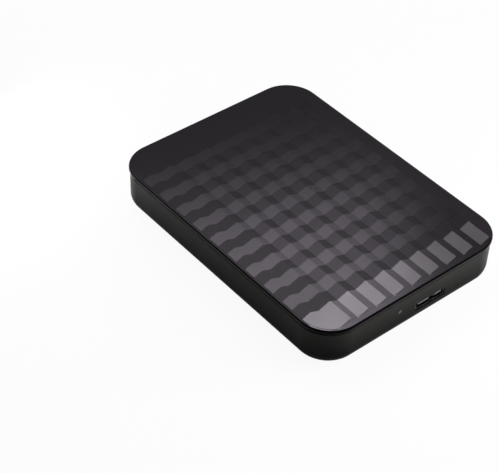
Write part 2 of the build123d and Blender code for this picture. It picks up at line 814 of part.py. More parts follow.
window_inner = coil_inner + coil_side
window_outer = coil_outer - coil_side
window_half_angle = coil_half_angle - degrees(coil_side / ((coil_inner + coil_outer) / 2))
coil_plan = sector(coil_inner, coil_outer, -coil_half_angle, coil_half_angle)
coil_plan = fillet(coil_plan.vertices(), coil_corner)
coil_window = sector(window_inner, window_outer, -window_half_angle, window_half_angle)
coil_plan = coil_plan - fillet(coil_window.vertices(), coil_corner / 2)
nodes["voice_coil"] = at_pivot(plate(coil_plan, coil_low, coil_high), coil_direction)

tab_start = head_reach + slider_length / 2
tab_end = tab_start + tab_length
suspension_plan = make_face(Polyline(
    (suspension_start, -suspension_half_width),
    (tab_start, -suspension_tip_half_width),
    (tab_start, -tab_half_width),
    (tab_end, -tab_half_width),
    (tab_end, tab_half_width),
    (tab_start, tab_half_width),
    (tab_start, suspension_tip_half_width),
    (suspension_start, suspension_half_width),
    close=True,
))
slider_plan = Pos(head_reach, 0) * Rectangle(slider_length, slider_width)
suspensions = []
sliders = []
slider_sides = (
    (low_suspension, 1),
    (mid_lower_suspension, -1),
    (mid_upper_suspension, 1),
    (high_suspension, -1),
)
for low, slider_side in slider_sides:
    high = low + suspension_thickness
    suspensions.append(at_pivot(plate(suspension_plan, low, high), park_direction))
    slider_low = high if slider_side > 0 else low - slider_thickness
    sliders.append(at_pivot(plate(slider_plan, slider_low, slider_low + slider_thickness), park_direction))
nodes["suspensions"] = Compound(suspensions)
nodes["head_sliders"] = Compound(sliders)

# Voice-coil motor, fixed half, drawn with its middle along +X
yoke_plan = sector(yoke_inner, yoke_radius, -yoke_half_angle, yoke_half_angle)
nodes["lower_yoke"] = at_pivot(plate(yoke_plan, cavity_floor, low_magnet), yoke_direction)
nodes["upper_yoke"] = at_pivot(plate(yoke_plan, high_yoke, high_yoke + yoke_thickness), yoke_direction)
magnet_half_angle = yoke_half_angle - vcm_magnet_end
magnet_sector = (coil_inner, yoke_radius - vcm_magnet_inset, -magnet_half_angle, magnet_half_angle)
vcm_magnet_plan = sector(*magnet_sector)
low_magnet_top = low_magnet + vcm_magnet_thickness
nodes["lower_magnet"] = at_pivot(plate(vcm_magnet_plan, low_magnet, low_magnet_top), yoke_direction)
nodes["upper_magnet"] = at_pivot(plate(vcm_magnet_plan, high_magnet, high_yoke), yoke_direction)
posts = []
stops = []
stop_angle = sweep_half_angle + degrees(asin((stop_radius + stop_gap) / stop_ring))
for side in (-1, 1):
    post_start = sweep_half_angle + post_gap_angle
    bounds = sorted((side * post_start, side * (post_start + post_angle)))
    post = plate(sector(post_inner, post_outer, *bounds), low_magnet, high_yoke)
    posts.append(at_pivot(post, yoke_direction))
    stop = Pos(stop_ring, 0, 0) * plate(Circle(stop_radius), low_magnet, high_yoke)
    stop = Rot(0, 0, side * stop_angle) * stop
    stops.append(at_pivot(stop, yoke_direction))
nodes["yoke_posts"] = Compound(posts)
nodes["crash_stops"] = Compound(stops)

# Parking ramp, with a slot for each pair of lift tabs
ramp_inner = tab_start + ramp_tab_start_gap
ramp_outer = tab_end + ramp_tab_gap + ramp_spine
ramp_top = high_suspension + suspension_thickness + ramp_open_gap + ramp_top_height
ramp = plate(sector(ramp_inner, ramp_outer, -ramp_angle_back, ramp_angle_ahead), cavity_floor, ramp_top)
slot_plan = sector(tab_start, tab_end + ramp_tab_gap, -2 * ramp_angle_back, 2 * ramp_angle_ahead)
for slot_low, slot_high in (
    (low_suspension - ramp_open_gap, low_suspension + suspension_thickness + ramp_touch_gap),
    (mid_lower_suspension - ramp_touch_gap, mid_upper_suspension + suspension_thickness + ramp_touch_gap),
    (high_suspension - ramp_touch_gap, high_suspension + suspension_thickness + ramp_open_gap),
):
    ramp = ramp - plate(slot_plan, slot_low, slot_high)
ramp = at_pivot(ramp, park_direction)
ramp = ramp - at_spindle(plate(Circle(platter_radius + ramp_platter_gap), cavity_floor, cover_under))
nodes["park_ramp"] = ramp & on_drive(plate(cavity_plan(-ramp_wall_gap), cavity_floor, cover_under))

# Wiring from the arm to the board
head_connector = plate(connector_plan, board_top, board_top + connector_height)
nodes["head_connector"] = on_drive(head_connector)
bracket_front = connector_y + connector_width / 2 + bracket_gap
bracket_face = bracket_front + bracket_thickness
bracket_left = connector_x - bracket_length / 2
bracket_right = connector_x + bracket_length / 2
bracket_top = cavity_floor + bracket_height
bracket = block(bracket_left, bracket_right, bracket_front, bracket_face, cavity_floor, bracket_top)
foot_top = cavity_floor + bracket_foot_thickness
foot_rear = bracket_front + bracket_foot
bracket = bracket + block(bracket_left, bracket_right, bracket_front, foot_rear, cavity_floor, foot_top)
nodes["flex_bracket"] = on_drive(bracket)
ribbon_reach = barrel_radius + ribbon_barrel_gap
ribbon_start_x = pivot_x + ribbon_reach * cos(radians(ribbon_angle))
ribbon_start_y = pivot_y + ribbon_reach * sin(radians(ribbon_angle))
ribbon_start = (ribbon_start_x, ribbon_start_y)
ribbon_y = bracket_face + ribbon_thickness / 2
ribbon_end = (bracket_left - ribbon_lead, ribbon_y)
ribbon_dip = ((ribbon_start[0] + ribbon_end[0]) / 2, (ribbon_start[1] + ribbon_end[1]) / 2 - ribbon_sag)
ribbon_curve = Spline(ribbon_start, ribbon_dip, ribbon_end, tangents=[(1, -1), (1, 0)])
ribbon_lie = Line(ribbon_end, (bracket_right - ribbon_lead, ribbon_y))
ribbon_plan = trace([ribbon_curve, ribbon_lie], ribbon_thickness)
ribbon_low = cavity_floor + ribbon_lift
nodes["flex_ribbon"] = on_drive(plate(ribbon_plan, ribbon_low, ribbon_low + ribbon_height))

# Circuit board
board_front = drive_front + board_clearance
board_rear = board_front + board_length
board_side = board_half - board_clearance
board = block(-board_side, board_side, board_front, board_rear, board_rise, board_top)
insulator_low = recess_ceiling - insulator_thickness
insulator_start = drive_front + insulator_front
insulator = block(-board_side, board_side, insulator_start, board_rear, insulator_low, recess_ceiling)
board_screw_run = board_thickness + board_screw_reach - thread_clearance
board_screw = screw(board_screw_head_radius, board_rise, board_screw_radius, board_screw_run)
board_screws = []
for x, y in board_screw_places:
    board = board - Pos(x, y, 0) * plate(Circle(board_screw_radius + screw_clearance), board_rise, board_top)
    boss_hole = plate(Circle(board_boss_radius + screw_clearance), board_top, recess_ceiling)
    insulator = insulator - Pos(x, y, 0) * boss_hole
    board_screws.append(on_drive(Pos(x, y, 0) * Rot(180, 0, 0) * board_screw))
insulator = insulator - plate(connector_slot, board_top, recess_ceiling)
nodes["circuit_board"] = on_drive(board)
nodes["board_insulator"] = on_drive(insulator)
nodes["board_screws"] = Compound(board_screws)


def on_board(length, width, height, x, front):
    """Flat component on the board, centred at x and at a distance from the drive's front."""
    outline = Pos(x, drive_front + front) * Rectangle(length, width)
    return on_drive(plate(outline, board_top, board_top + height))


controller_x = controller_inset - board_half
driver_x = board_half - driver_inset
memory_x = driver_x - driver_size / 2 - memory_gap - memory_length / 2
bridge_x = connector_x - connector_length / 2 - bridge_gap - bridge_size / 2
crystal_x = bridge_x - bridge_size / 2 - crystal_gap - crystal_length / 2
inductor_x = inductor_inset - board_half
nodes["controller_chip"] = on_board(
    controller_size, controller_size, controller_thickness, controller_x, controller_front)
nodes["memory_chip"] = on_board(memory_length, memory_width, memory_thickness, memory_x, memory_front)
nodes["motor_chip"] = on_board(driver_size, driver_size, driver_thickness, driver_x, driver_front)
nodes["bridge_chip"] = on_board(bridge_size, bridge_size, bridge_thickness, bridge_x, bridge_front)
nodes["crystal_can"] = on_board(crystal_length, crystal_width, crystal_thickness, crystal_x, crystal_front)
nodes["power_inductor"] = on_board(
    inductor_size, inductor_size, inductor_thickness, inductor_x, inductor_front)
capacitors = []
for column in range(capacitor_columns):
    for row in range(capacitor_rows):
        x = capacitor_inset - board_half + column * capacitor_pitch
        front = capacitor_front + row * capacitor_pitch
        capacitors.append(on_board(capacitor_width, capacitor_length, capacitor_thickness, x, front))
nodes["ceramic_capacitors"] = Compound(capacitors)
led_front = board_clearance + led_width / 2
nodes["activity_led"] = on_board(led_length, led_width, led_thickness, lamp_x, led_front)

# Shield below the board, between the corner cups
shield_low = drive_bottom - shield_thickness
shield_start = drive_front + bumper_grip + shield_cup_gap
shield_end = recess_rear
shield_half = drive_width / 2 + shield_thickness
shield = block(-shield_half, shield_half, shield_start, shield_end, shield_low, drive_bottom)
neck_half = shield_neck / 2
neck_start = drive_front + shield_front
neck = block(-neck_half, neck_half, neck_start, shield_start, shield_low, drive_bottom)
shield = shield + neck
flange_top = drive_bottom + shield_flange
for side in (-1, 1):
    flange_bounds = sorted((side * drive_width / 2, side * shield_half))
    shield = shield + block(*flange_bounds, shield_start, shield_end, shield_low, flange_top)
nodes["shield_plate"] = shield

# Socket
shell = port_run(port_plan(port_shell) - port_plan(0), 0, port_depth)
nodes["usb_socket"] = shell
insert_start = port_depth - port_insert_depth
insert = port_run(port_plan(0), insert_start, port_depth)
contacts = []
tongues = (
    ((port_wide - port_width) / 2, tongue_wide, contact_pitch_wide),
    ((port_width - port_narrow) / 2, tongue_narrow, contact_pitch_narrow),
)
for tongue_x, tongue_width, contact_pitch in tongues:
    tongue = Pos(tongue_x, tongue_lift) * Rectangle(tongue_width, tongue_thickness)
    insert = insert + port_run(tongue, tongue_recess, insert_start)
    contact_y = tongue_lift - (tongue_thickness + contact_thickness) / 2
    for index in range(contact_count):
        contact_x = tongue_x + (index - (contact_count - 1) / 2) * contact_pitch
        contact = Pos(contact_x, contact_y) * Rectangle(contact_width, contact_thickness)
        contacts.append(port_run(contact, insert_start - contact_length, insert_start))
nodes["usb_tongue"] = insert
nodes["usb_contacts"] = Compound(contacts)

os.makedirs("parts", exist_ok=True)
for name, shape in nodes.items():
    export_step(shape, f"parts/{name}.step")
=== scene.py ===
"""Looks of a flat portable hard drive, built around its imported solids."""

import logging
import math
from abc import ABC, abstractmethod
from collections.abc import Mapping, Sequence
from dataclasses import dataclass, field
from enum import Enum
from functools import lru_cache
from typing import Any, Union

import bmesh
import bpy
from mathutils import Matrix, Vector


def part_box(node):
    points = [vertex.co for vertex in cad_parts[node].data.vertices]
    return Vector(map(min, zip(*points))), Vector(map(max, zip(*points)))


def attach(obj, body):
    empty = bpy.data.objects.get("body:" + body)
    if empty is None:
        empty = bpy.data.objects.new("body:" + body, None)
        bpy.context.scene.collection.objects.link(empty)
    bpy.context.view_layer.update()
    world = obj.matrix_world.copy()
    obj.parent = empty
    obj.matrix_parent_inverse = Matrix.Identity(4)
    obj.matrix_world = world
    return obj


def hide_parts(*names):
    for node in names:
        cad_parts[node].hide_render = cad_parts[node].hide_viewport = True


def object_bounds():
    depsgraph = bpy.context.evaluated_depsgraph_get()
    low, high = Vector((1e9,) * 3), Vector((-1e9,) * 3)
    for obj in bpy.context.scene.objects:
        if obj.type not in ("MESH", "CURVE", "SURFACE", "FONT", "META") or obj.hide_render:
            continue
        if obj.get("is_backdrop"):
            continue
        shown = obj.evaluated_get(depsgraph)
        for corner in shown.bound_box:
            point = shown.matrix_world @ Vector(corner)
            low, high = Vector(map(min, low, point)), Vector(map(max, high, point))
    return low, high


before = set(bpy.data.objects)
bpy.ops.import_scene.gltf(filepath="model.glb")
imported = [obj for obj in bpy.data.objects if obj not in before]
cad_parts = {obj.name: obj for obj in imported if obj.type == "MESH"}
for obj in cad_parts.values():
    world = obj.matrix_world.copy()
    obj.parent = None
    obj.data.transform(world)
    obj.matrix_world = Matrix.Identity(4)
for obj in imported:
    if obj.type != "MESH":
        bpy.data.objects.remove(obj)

LOG = logging.getLogger("portable_drive")
CAD_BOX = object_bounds()
MM = 0.001
PHOTO_WIDTH = 498
SOLID_MERGE = 0.001 * MM
FLOOR_MERGE = 0.01 * MM
EVEN_WEIGHT = 100
CREASE_DEG = 32.0

Colour = tuple[float, float, float]
Point = tuple[float, float, float]
Axis = tuple[float, float]
Settings = Mapping[str, Any]
Sockets = Mapping[Union[str, int], Any]
Sizes = Mapping[str, Union[float, int]]

BARE_METAL: Sockets = {"Metallic": 1.0}
VARNISH: Sockets = {"Coat Weight": 0.5, "Coat Roughness": 0.2}


def grey(value: float) -> Colour:
    """Colour without a tint."""
    return (value, value, value)


class Run(Enum):
    """Direction in which a sheet's marks lie, as the stretch of its noise."""

    ALONG_X = (0.02, 1.0, 1.0)
    ALONG_Y = (1.0, 0.02, 1.0)


class Body(Enum):
    """Moving bodies of the drive."""

    CASE = "case"
    SPINDLE = "spindle"
    ACTUATOR = "actuator"


class Wire:
    """A socket's value that takes part in Python arithmetic."""

    def __init__(self, bench: "NodeBench", socket: bpy.types.NodeSocket) -> None:
        """Keeps the bench and the socket that the value leaves from."""
        self.bench = bench
        self.socket = socket

    def math(self, operation: str, *others: "Term") -> "Wire":
        """Result of one Math node on this value and further operands."""
        sockets = dict(enumerate((self, *others)))
        return self.bench.out("ShaderNodeMath", {"operation": operation}, sockets)

    def __add__(self, other: "Term") -> "Wire":
        """Sum."""
        return self.math("ADD", other)

    __radd__ = __add__

    def __sub__(self, other: "Term") -> "Wire":
        """Difference."""
        return self.math("SUBTRACT", other)

    def __rsub__(self, other: float) -> "Wire":
        """Difference from a number."""
        return self.bench.out("ShaderNodeMath", {"operation": "SUBTRACT"}, {0: other, 1: self})

    def __mul__(self, other: "Term") -> "Wire":
        """Product."""
        return self.math("MULTIPLY", other)

    __rmul__ = __mul__

    def __truediv__(self, other: "Term") -> "Wire":
        """Quotient."""
        return self.math("DIVIDE", other)

    def __pow__(self, other: "Term") -> "Wire":
        """Power."""
        return self.math("POWER", other)

    def __abs__(self) -> "Wire":
        """Absolute value."""
        return self.math("ABSOLUTE")

    def lower_of(self, other: "Term") -> "Wire":
        """Smaller of two values."""
        return self.math("MINIMUM", other)

    def higher_of(self, other: "Term") -> "Wire":
        """Larger of two values."""
        return self.math("MAXIMUM", other)

    def within(self) -> "Wire":
        """Value held between 0 and 1."""
        return self.higher_of(0.0).lower_of(1.0)

    def fraction(self) -> "Wire":
        """Part after the whole number."""
        return self.math("FRACT")

    def rise(self, low: float, high: float) -> "Wire":
        """Straight step from 0 at low to 1 at high."""
        return ((self - low) / (high - low)).within()

    def inside(self, reach: float, soft: float) -> "Wire":
        """1 where a distance is below a reach and 0 beyond it, with a soft edge."""
        return (reach - self).rise(-soft / 2, soft / 2)

    def away(self, middle: float, pitch: float) -> "Wire":
        """Distance from the nearest of evenly spaced lines, one of them at the middle."""
        turn = ((self - middle) / pitch + 0.5).fraction()
        return abs(turn - 0.5) * pitch

    def ripple(self, pitch: float) -> "Wire":
        """Wave between 0 and 1 that repeats at a pitch."""
        return (self * (2 * math.pi / pitch)).math("SINE") * 0.5 + 0.5

    def swing(self, span: float) -> "Wire":
        """Departure of a value from one half, over a span."""
        return (self - 0.5) * span

    def blend(self, other: "Wire", share: float) -> "Wire":
        """Weighted sum of this value and another, which has the share."""
        return self * (1 - share) + other * share

    def between(self, first: "Term", second: "Term") -> "Wire":
        """Number between two numbers, with this value as the second's share."""
        return first + self * (second - first)


Term = Union[Wire, float]


class NodeBench:
    """Makes the nodes of one tree from a type, its settings and its sockets."""

    def __init__(self, tree: bpy.types.NodeTree) -> None:
        """Keeps the tree."""
        self.tree = tree

    def node(
        self, kind: str, settings: Settings | None = None, sockets: Sockets | None = None
    ) -> bpy.types.Node:
        """Adds one node.

        Args:
            kind: Type of the node.
            settings: Its own settings, which are set first.
            sockets: Values or links of its input sockets, by name or number.

        Returns:
            The new node.
        """
        made = self.tree.nodes.new(kind)
        for name, value in (settings or {}).items():
            setattr(made, name, value)
        for name, value in (sockets or {}).items():
            if isinstance(value, Wire):
                self.tree.links.new(value.socket, made.inputs[name])
            else:
                made.inputs[name].default_value = value
        return made

    def out(
        self,
        kind: str,
        settings: Settings | None = None,
        sockets: Sockets | None = None,
        result: str | int = 0,
    ) -> Wire:
        """One result of a new node."""
        return Wire(self, self.node(kind, settings, sockets).outputs[result])


class ShaderBench(NodeBench):
    """Node bench of one material, with the patterns that the finishes share."""

    def __init__(self, material: bpy.types.Material) -> None:
        """Clears the material's nodes and takes its coordinates in millimetres.

        Args:
            material: Material to work on.
        """
        material.use_nodes = True
        super().__init__(material.node_tree)
        self.tree.nodes.clear()
        self.output = self.node("ShaderNodeOutputMaterial")
        place = self.out("ShaderNodeTexCoord", result="Object")
        self.place = self.stretch(place, (1 / MM, 1 / MM, 1 / MM))
        parts = self.node("ShaderNodeSeparateXYZ", sockets={0: self.place})
        self.x, self.y, self.z = (Wire(self, socket) for socket in parts.outputs)

    def stretch(self, vector: Wire, factors: Point) -> Wire:
        """Vector with each of its axes multiplied."""
        return self.out("ShaderNodeVectorMath", {"operation": "MULTIPLY"}, {0: vector, 1: factors})

    def noise(self, per_mm: float, detail: float, vector: Wire | None = None) -> Wire:
        """Soft noise between 0 and 1, of so many lumps in a millimetre."""
        sockets = {"Vector": vector or self.place, "Scale": per_mm, "Detail": detail}
        return self.out("ShaderNodeTexNoise", None, sockets, "Fac")

    def cells(self, per_mm: float, feature: str = "F1") -> Wire:
        """Distance in a pattern with so many irregular cells in a millimetre."""
        sockets = {"Vector": self.place, "Scale": per_mm}
        return self.out("ShaderNodeTexVoronoi", {"feature": feature}, sockets, "Distance")

    def mix(self, share: Term, first: Colour | Wire, second: Colour | Wire) -> Wire:
        """Colour between two colours.

        Args:
            share: How much of the second colour there is, from 0 to 1.
            first: Colour at 0.
            second: Colour at 1.

        Returns:
            The mixed colour.
        """
        settings = {"data_type": "RGBA", "clamp_factor": True}
        sockets = {0: share, 6: self.filled(first), 7: self.filled(second)}
        return self.out("ShaderNodeMix", settings, sockets, 2)

    @staticmethod
    def filled(colour: Colour | Wire) -> Any:
        """Colour with its fourth value, or the link itself."""
        return colour if isinstance(colour, Wire) else (*colour, 1.0)

    def bump(self, height: Wire, depth_mm: float, normal: Wire | None = None) -> Wire:
        """Normal of a surface with fine relief.

        Args:
            height: Relief between 0 and 1.
            depth_mm: Depth that 1 stands for.
            normal: Normal of coarser relief below, if any.

        Returns:
            The bent normal.
        """
        sockets = {"Height": height, "Distance": depth_mm * MM, "Strength": 1.0}
        if normal is not None:
            sockets["Normal"] = normal
        return self.out("ShaderNodeBump", None, sockets, "Normal")

    def reach(self, centre: Axis) -> Wire:
        """Distance in plan from an upright axis, in millimetres."""
        across, along = self.x - centre[0], self.y - centre[1]
        return (across * across + along * along) ** 0.5

    def bearing(self, centre: Axis) -> Wire:
        """Direction in plan from an upright axis, in radians from +X."""
        return (self.y - centre[1]).math("ARCTAN2", self.x - centre[0])

    def show(self, shader: Wire) -> None:
        """Joins a shader to the material's output."""
        self.tree.links.new(shader.socket, self.output.inputs["Surface"])

    def surface(
        self,
        tone: Wire,
        rough: Term,
        normal: Wire | None = None,
        others: Sockets | None = None,
    ) -> None:
        """Adds the main shader and joins it to the output.

        Args:
            tone: Base colour.
            rough: Roughness.
            normal: Bent normal, or none for the mesh's own.
            others: Values or links of further sockets, by name.
        """
        sockets = {"Base Color": tone, "Roughness": rough, **(others or {})}
        if normal is not None:
            sockets["Normal"] = normal
        self.show(self.out("ShaderNodeBsdfPrincipled", None, sockets))


@dataclass(frozen=True)
class Finish(ABC):
    """Surface finish that makes one material."""

    slot: str

    @abstractmethod
    def paint(self, bench: ShaderBench) -> None:
        """Adds the finish's nodes."""


@lru_cache(maxsize=None)
def material_of(finish: Finish) -> bpy.types.Material:
    """Material of a finish, made once.

    Args:
        finish: Finish to make.

    Returns:
        Its material.
    """
    material = bpy.data.materials.new(f"{type(finish).__name__}_{finish.slot}")
    finish.paint(ShaderBench(material))
    return material


@dataclass(frozen=True)
class Bands:
    """Evenly spaced bands across the lid, after one wide band at its near side."""

    wide_start: float
    wide_end: float
    first: float
    width: float
    pitch: float
    count: int

    @property
    def gap(self) -> float:
        """Room between two bands."""
        return self.pitch - self.width

    @property
    def last(self) -> float:
        """End of the last band."""
        return self.first + self.count * self.pitch - self.gap

    def mask(self, place: Wire, soft: float) -> Wire:
        """1 on the bands and 0 between them.

        Args:
            place: Place across the bands, in millimetres.
            soft: Width of the bands' soft edges.

        Returns:
            The mask.
        """
        away = place.away(self.first + self.width / 2, self.pitch)
        bands = away.inside(self.width / 2, soft)
        start, end = self.first - self.gap / 2, self.last + self.gap / 2
        bands = bands * place.rise(start - soft, start) * (1 - place.rise(end, end + soft))
        middle = (self.wide_start + self.wide_end) / 2
        wide = abs(place - middle).inside((self.wide_end - self.wide_start) / 2, soft)
        return bands.higher_of(wide)

    def span(self, place: Wire, soft: float) -> Wire:
        """1 from the wide band's start to the last band's end, with soft ends."""
        middle, half = (self.wide_start + self.last) / 2, (self.last - self.wide_start) / 2
        return abs(place - middle).inside(half, soft)


@dataclass(frozen=True)
class Tint:
    """Colour of one part of the check, and how much it looks like metal."""

    colour: Colour
    metal: float


@dataclass(frozen=True)
class CheckedGloss(Finish):
    """Dark lid with a tone-on-tone check that catches the light, and painted shade on its side.

    The rows' edges rise across each column and fall back between columns.
    """

    columns: Bands
    rows: Bands
    ground: Tint
    column: Tint
    row: Tint
    wide_row: Tint
    crossing: Tint
    wide_crossing: Tint
    # Painted shade: colour of the lid's side below the top.
    side: Colour
    margin_fade: float
    margin_cross_fade: float
    row_rise: float
    front: float
    shaded_side_top: float
    edge_soft: float = 0.35
    shaded_side_soft: float = 0.1
    drift_mm: float = 0.4
    cloud_start: float = 0.3
    cloud_share: float = 0.4
    roughness: float = 0.2
    fleck_mm: float = 0.0006
    specular: float = 0.08

    def lift(self, place: Wire) -> Wire:
        """How far the rows' edges are lifted across the columns.

        Args:
            place: Place across the columns, in millimetres.

        Returns:
            The lift in millimetres.
        """
        share = self.columns.width / self.columns.pitch
        turn = ((place - self.columns.first) / self.columns.pitch).fraction()
        slope = (turn / share).lower_of((1 - turn) / (1 - share))
        return slope.swing(self.row_rise)

    def paint(self, bench: ShaderBench) -> None:
        """Adds the finish's nodes.

        Args:
            bench: Bench of its material.
        """
        columns, rows, soft = self.columns, self.rows, self.edge_soft
        cloud = bench.noise(per_mm=0.09, detail=4.0)
        fleck = bench.noise(per_mm=5.0, detail=2.0)
        drift = bench.noise(per_mm=0.3, detail=2.0).swing(self.drift_mm)
        level = bench.y - self.lift(bench.x) + drift
        across = columns.mask(bench.x + drift, soft) * rows.span(level, soft)
        across = across * level.rise(self.front, self.front + soft)
        margin = 1 - bench.x.rise(columns.wide_end, columns.wide_end + soft)
        # Painted shade: below this height the lid's side is near-black metal with no reflection.
        top = bench.z.rise(self.shaded_side_top, self.shaded_side_top + self.shaded_side_soft)
        along = rows.mask(level, soft) * columns.span(bench.x + drift, soft) * top
        both = (across * (1 - margin * self.margin_cross_fade) * top).lower_of(along)
        across = across * (1 - margin * self.margin_fade) * top
        wide = 1 - level.rise(rows.wide_end, rows.wide_end + soft)
        single = bench.mix(wide, self.row.colour, self.wide_row.colour)
        crossed = bench.mix(wide, self.crossing.colour, self.wide_crossing.colour)
        tone = bench.mix(across, self.ground.colour, self.column.colour)
        tone = bench.mix(both, bench.mix(along, tone, single), crossed)
        tone = bench.mix((cloud - self.cloud_start) * self.cloud_share, tone, self.ground.colour)
        # Painted shade on the lid's side.
        tone = bench.mix(top, self.side, tone)
        metal = across.between(self.ground.metal, self.column.metal)
        metal = along.between(metal, wide.between(self.row.metal, self.wide_row.metal))
        metal = both.between(metal, wide.between(self.crossing.metal, self.wide_crossing.metal))
        rough = self.roughness + fleck.swing(0.04) + cloud.swing(0.03)
        bench.surface(tone, rough, bench.bump(fleck, self.fleck_mm), {
            "Metallic": metal.higher_of(1 - top),
            "Specular IOR Level": self.specular,
        })


@dataclass(frozen=True)
class GrainedShell(Finish):
    """Dark satin plastic with a fine spark-eroded grain and painted shade towards its foot."""

    dark: Colour
    light: Colour
    # Painted shade: the foot colour and the two heights below darken the tray towards the floor.
    foot: Colour
    shade_full_mm: float
    shade_top_mm: float
    roughness: float = 0.36
    grain_mm: float = 0.004
    specular: float = 0.04

    def paint(self, bench: ShaderBench) -> None:
        """Adds the finish's nodes.

        Args:
            bench: Bench of its material.
        """
        cloud = bench.noise(per_mm=0.15, detail=4.0)
        grain = bench.noise(per_mm=4.0, detail=3.0)
        pits = bench.cells(per_mm=3.2)
        tone = bench.mix(cloud.blend(grain, 0.4), self.dark, self.light)
        # Painted shade: the tone darkens to the foot colour towards the bottom.
        tone = bench.mix(bench.z.rise(self.shade_full_mm, self.shade_top_mm), self.foot, tone)
        rough = self.roughness + grain.swing(0.1) + cloud.swing(0.06)
        normal = bench.bump(grain.blend(pits, 0.4), self.grain_mm)
        bench.surface(tone, rough, normal, {"Specular IOR Level": self.specular})


@dataclass(frozen=True)
class SoftRubber(Finish):
    """Matt rubber with a faint bloom."""

    dark: Colour
    bloom: Colour
    roughness: float = 0.75
    skin_mm: float = 0.01

    def paint(self, bench: ShaderBench) -> None:
        """Adds the finish's nodes.

        Args:
            bench: Bench of its material.
        """
        dust = bench.noise(per_mm=0.6, detail=5.0)
        skin = bench.noise(per_mm=6.0, detail=2.0)
        tone = bench.mix(dust.rise(0.45, 0.8), self.dark, self.bloom)
        bench.surface(tone, self.roughness + dust.swing(0.2), bench.bump(skin, self.skin_mm))


@dataclass(frozen=True)
class CastAlloy(Finish):
    """Die-cast alloy with a fine skin and darker flow marks."""

    dark: Colour
    light: Colour
    metal: float = 0.9
    roughness: float = 0.42
    skin_mm: float = 0.012

    def paint(self, bench: ShaderBench) -> None:
        """Adds the finish's nodes.

        Args:
            bench: Bench of its material.
        """
        flow = bench.noise(per_mm=0.08, detail=6.0)
        skin = bench.cells(per_mm=2.4)
        fine = bench.noise(per_mm=5.0, detail=3.0)
        tone = bench.mix(flow.blend(fine, 0.3), self.dark, self.light)
        normal = bench.bump(skin.blend(fine, 0.5), self.skin_mm)
        bench.surface(tone, self.roughness + flow.swing(0.2), normal, {"Metallic": self.metal})


@dataclass(frozen=True)
class BrushedSheet(Finish):
    """Sheet metal with fine marks along one direction."""

    dark: Colour
    light: Colour
    run: Run
    roughness: float = 0.32
    mark_mm: float = 0.003

    def paint(self, bench: ShaderBench) -> None:
        """Adds the finish's nodes.

        Args:
            bench: Bench of its material.
        """
        drawn = bench.stretch(bench.place, self.run.value)
        lines = bench.noise(per_mm=7.0, detail=3.0, vector=drawn)
        smear = bench.noise(per_mm=0.1, detail=3.0)
        tone = bench.mix(lines.blend(smear, 0.4), self.dark, self.light)
        rough = self.roughness + lines.swing(0.2) + smear.swing(0.12)
        bench.surface(tone, rough, bench.bump(lines, self.mark_mm), BARE_METAL)


@dataclass(frozen=True)
class TurnedMetal(Finish):
    """Metal turned on a lathe, with rings about its axis."""

    dark: Colour
    light: Colour
    centre: Axis
    ring_mm: float = 0.16
    depth_mm: float = 0.003
    roughness: float = 0.26

    def paint(self, bench: ShaderBench) -> None:
        """Adds the finish's nodes.

        Args:
            bench: Bench of its material.
        """
        rings = (bench.reach(self.centre) + bench.z).ripple(self.ring_mm)
        chatter = bench.noise(per_mm=1.5, detail=3.0)
        tone = bench.mix(rings.blend(chatter, 0.5), self.dark, self.light)
        rough = self.roughness + chatter.swing(0.15)
        bench.surface(tone, rough, bench.bump(rings, self.depth_mm), BARE_METAL)


@dataclass(frozen=True)
class MirrorDisk(Finish):
    """Polished platter with a landing ring and faint tracks."""

    centre: Axis
    outer: float
    inner: float
    track_mm: float = 0.8
    landing: Colour = (0.62, 0.62, 0.64)
    mirror: Colour = (0.78, 0.78, 0.8)
    roughness: float = 0.12

    def paint(self, bench: ShaderBench) -> None:
        """Adds the finish's nodes.

        Args:
            bench: Bench of its material.
        """
        reach = bench.reach(self.centre)
        share = (reach - self.inner) / (self.outer - self.inner)
        zone = share.rise(0.12, 0.2) * (1 - share.rise(0.96, 0.99))
        tone = bench.mix(zone, self.landing, self.mirror)
        rough = self.roughness - zone * 0.08 + reach.ripple(self.track_mm) * 0.015
        bench.surface(tone, rough, others=BARE_METAL)


@dataclass(frozen=True)
class LaminatedCore(Finish):
    """Stacked steel laminations, seen as thin layers."""

    steel: Colour = (0.3, 0.3, 0.31)
    seam: Colour = (0.07, 0.06, 0.06)
    layer_mm: float = 0.2
    depth_mm: float = 0.03
    metal: float = 0.8
    roughness: float = 0.45

    def paint(self, bench: ShaderBench) -> None:
        """Adds the finish's nodes.

        Args:
            bench: Bench of its material.
        """
        seam = abs((bench.z / self.layer_mm).fraction() - 0.5).rise(0.3, 0.5)
        stain = bench.noise(per_mm=1.2, detail=4.0)
        tone = bench.mix(seam.blend(stain, 0.2), self.steel, self.seam)
        normal = bench.bump(1 - seam, self.depth_mm)
        bench.surface(tone, self.roughness + stain * 0.2, normal, {"Metallic": self.metal})


@dataclass(frozen=True)
class CopperWire(Finish):
    """Enamelled copper, redder in soft random patches."""

    hollow: Colour = (0.42, 0.13, 0.045)
    crest: Colour = (0.75, 0.34, 0.14)
    metal: float = 0.85
    roughness: float = 0.28
    draw_mm: float = 0.002

    def paint(self, bench: ShaderBench) -> None:
        """Adds the finish's nodes.

        Args:
            bench: Bench of its material.
        """
        enamel = bench.noise(per_mm=1.6, detail=4.0)
        draw = bench.noise(per_mm=9.0, detail=2.0)
        tone = bench.mix(enamel.blend(draw, 0.3), self.hollow, self.crest)
        rough = self.roughness + enamel.swing(0.2)
        bench.surface(
            tone, rough, bench.bump(draw, self.draw_mm), {"Metallic": self.metal, **VARNISH})


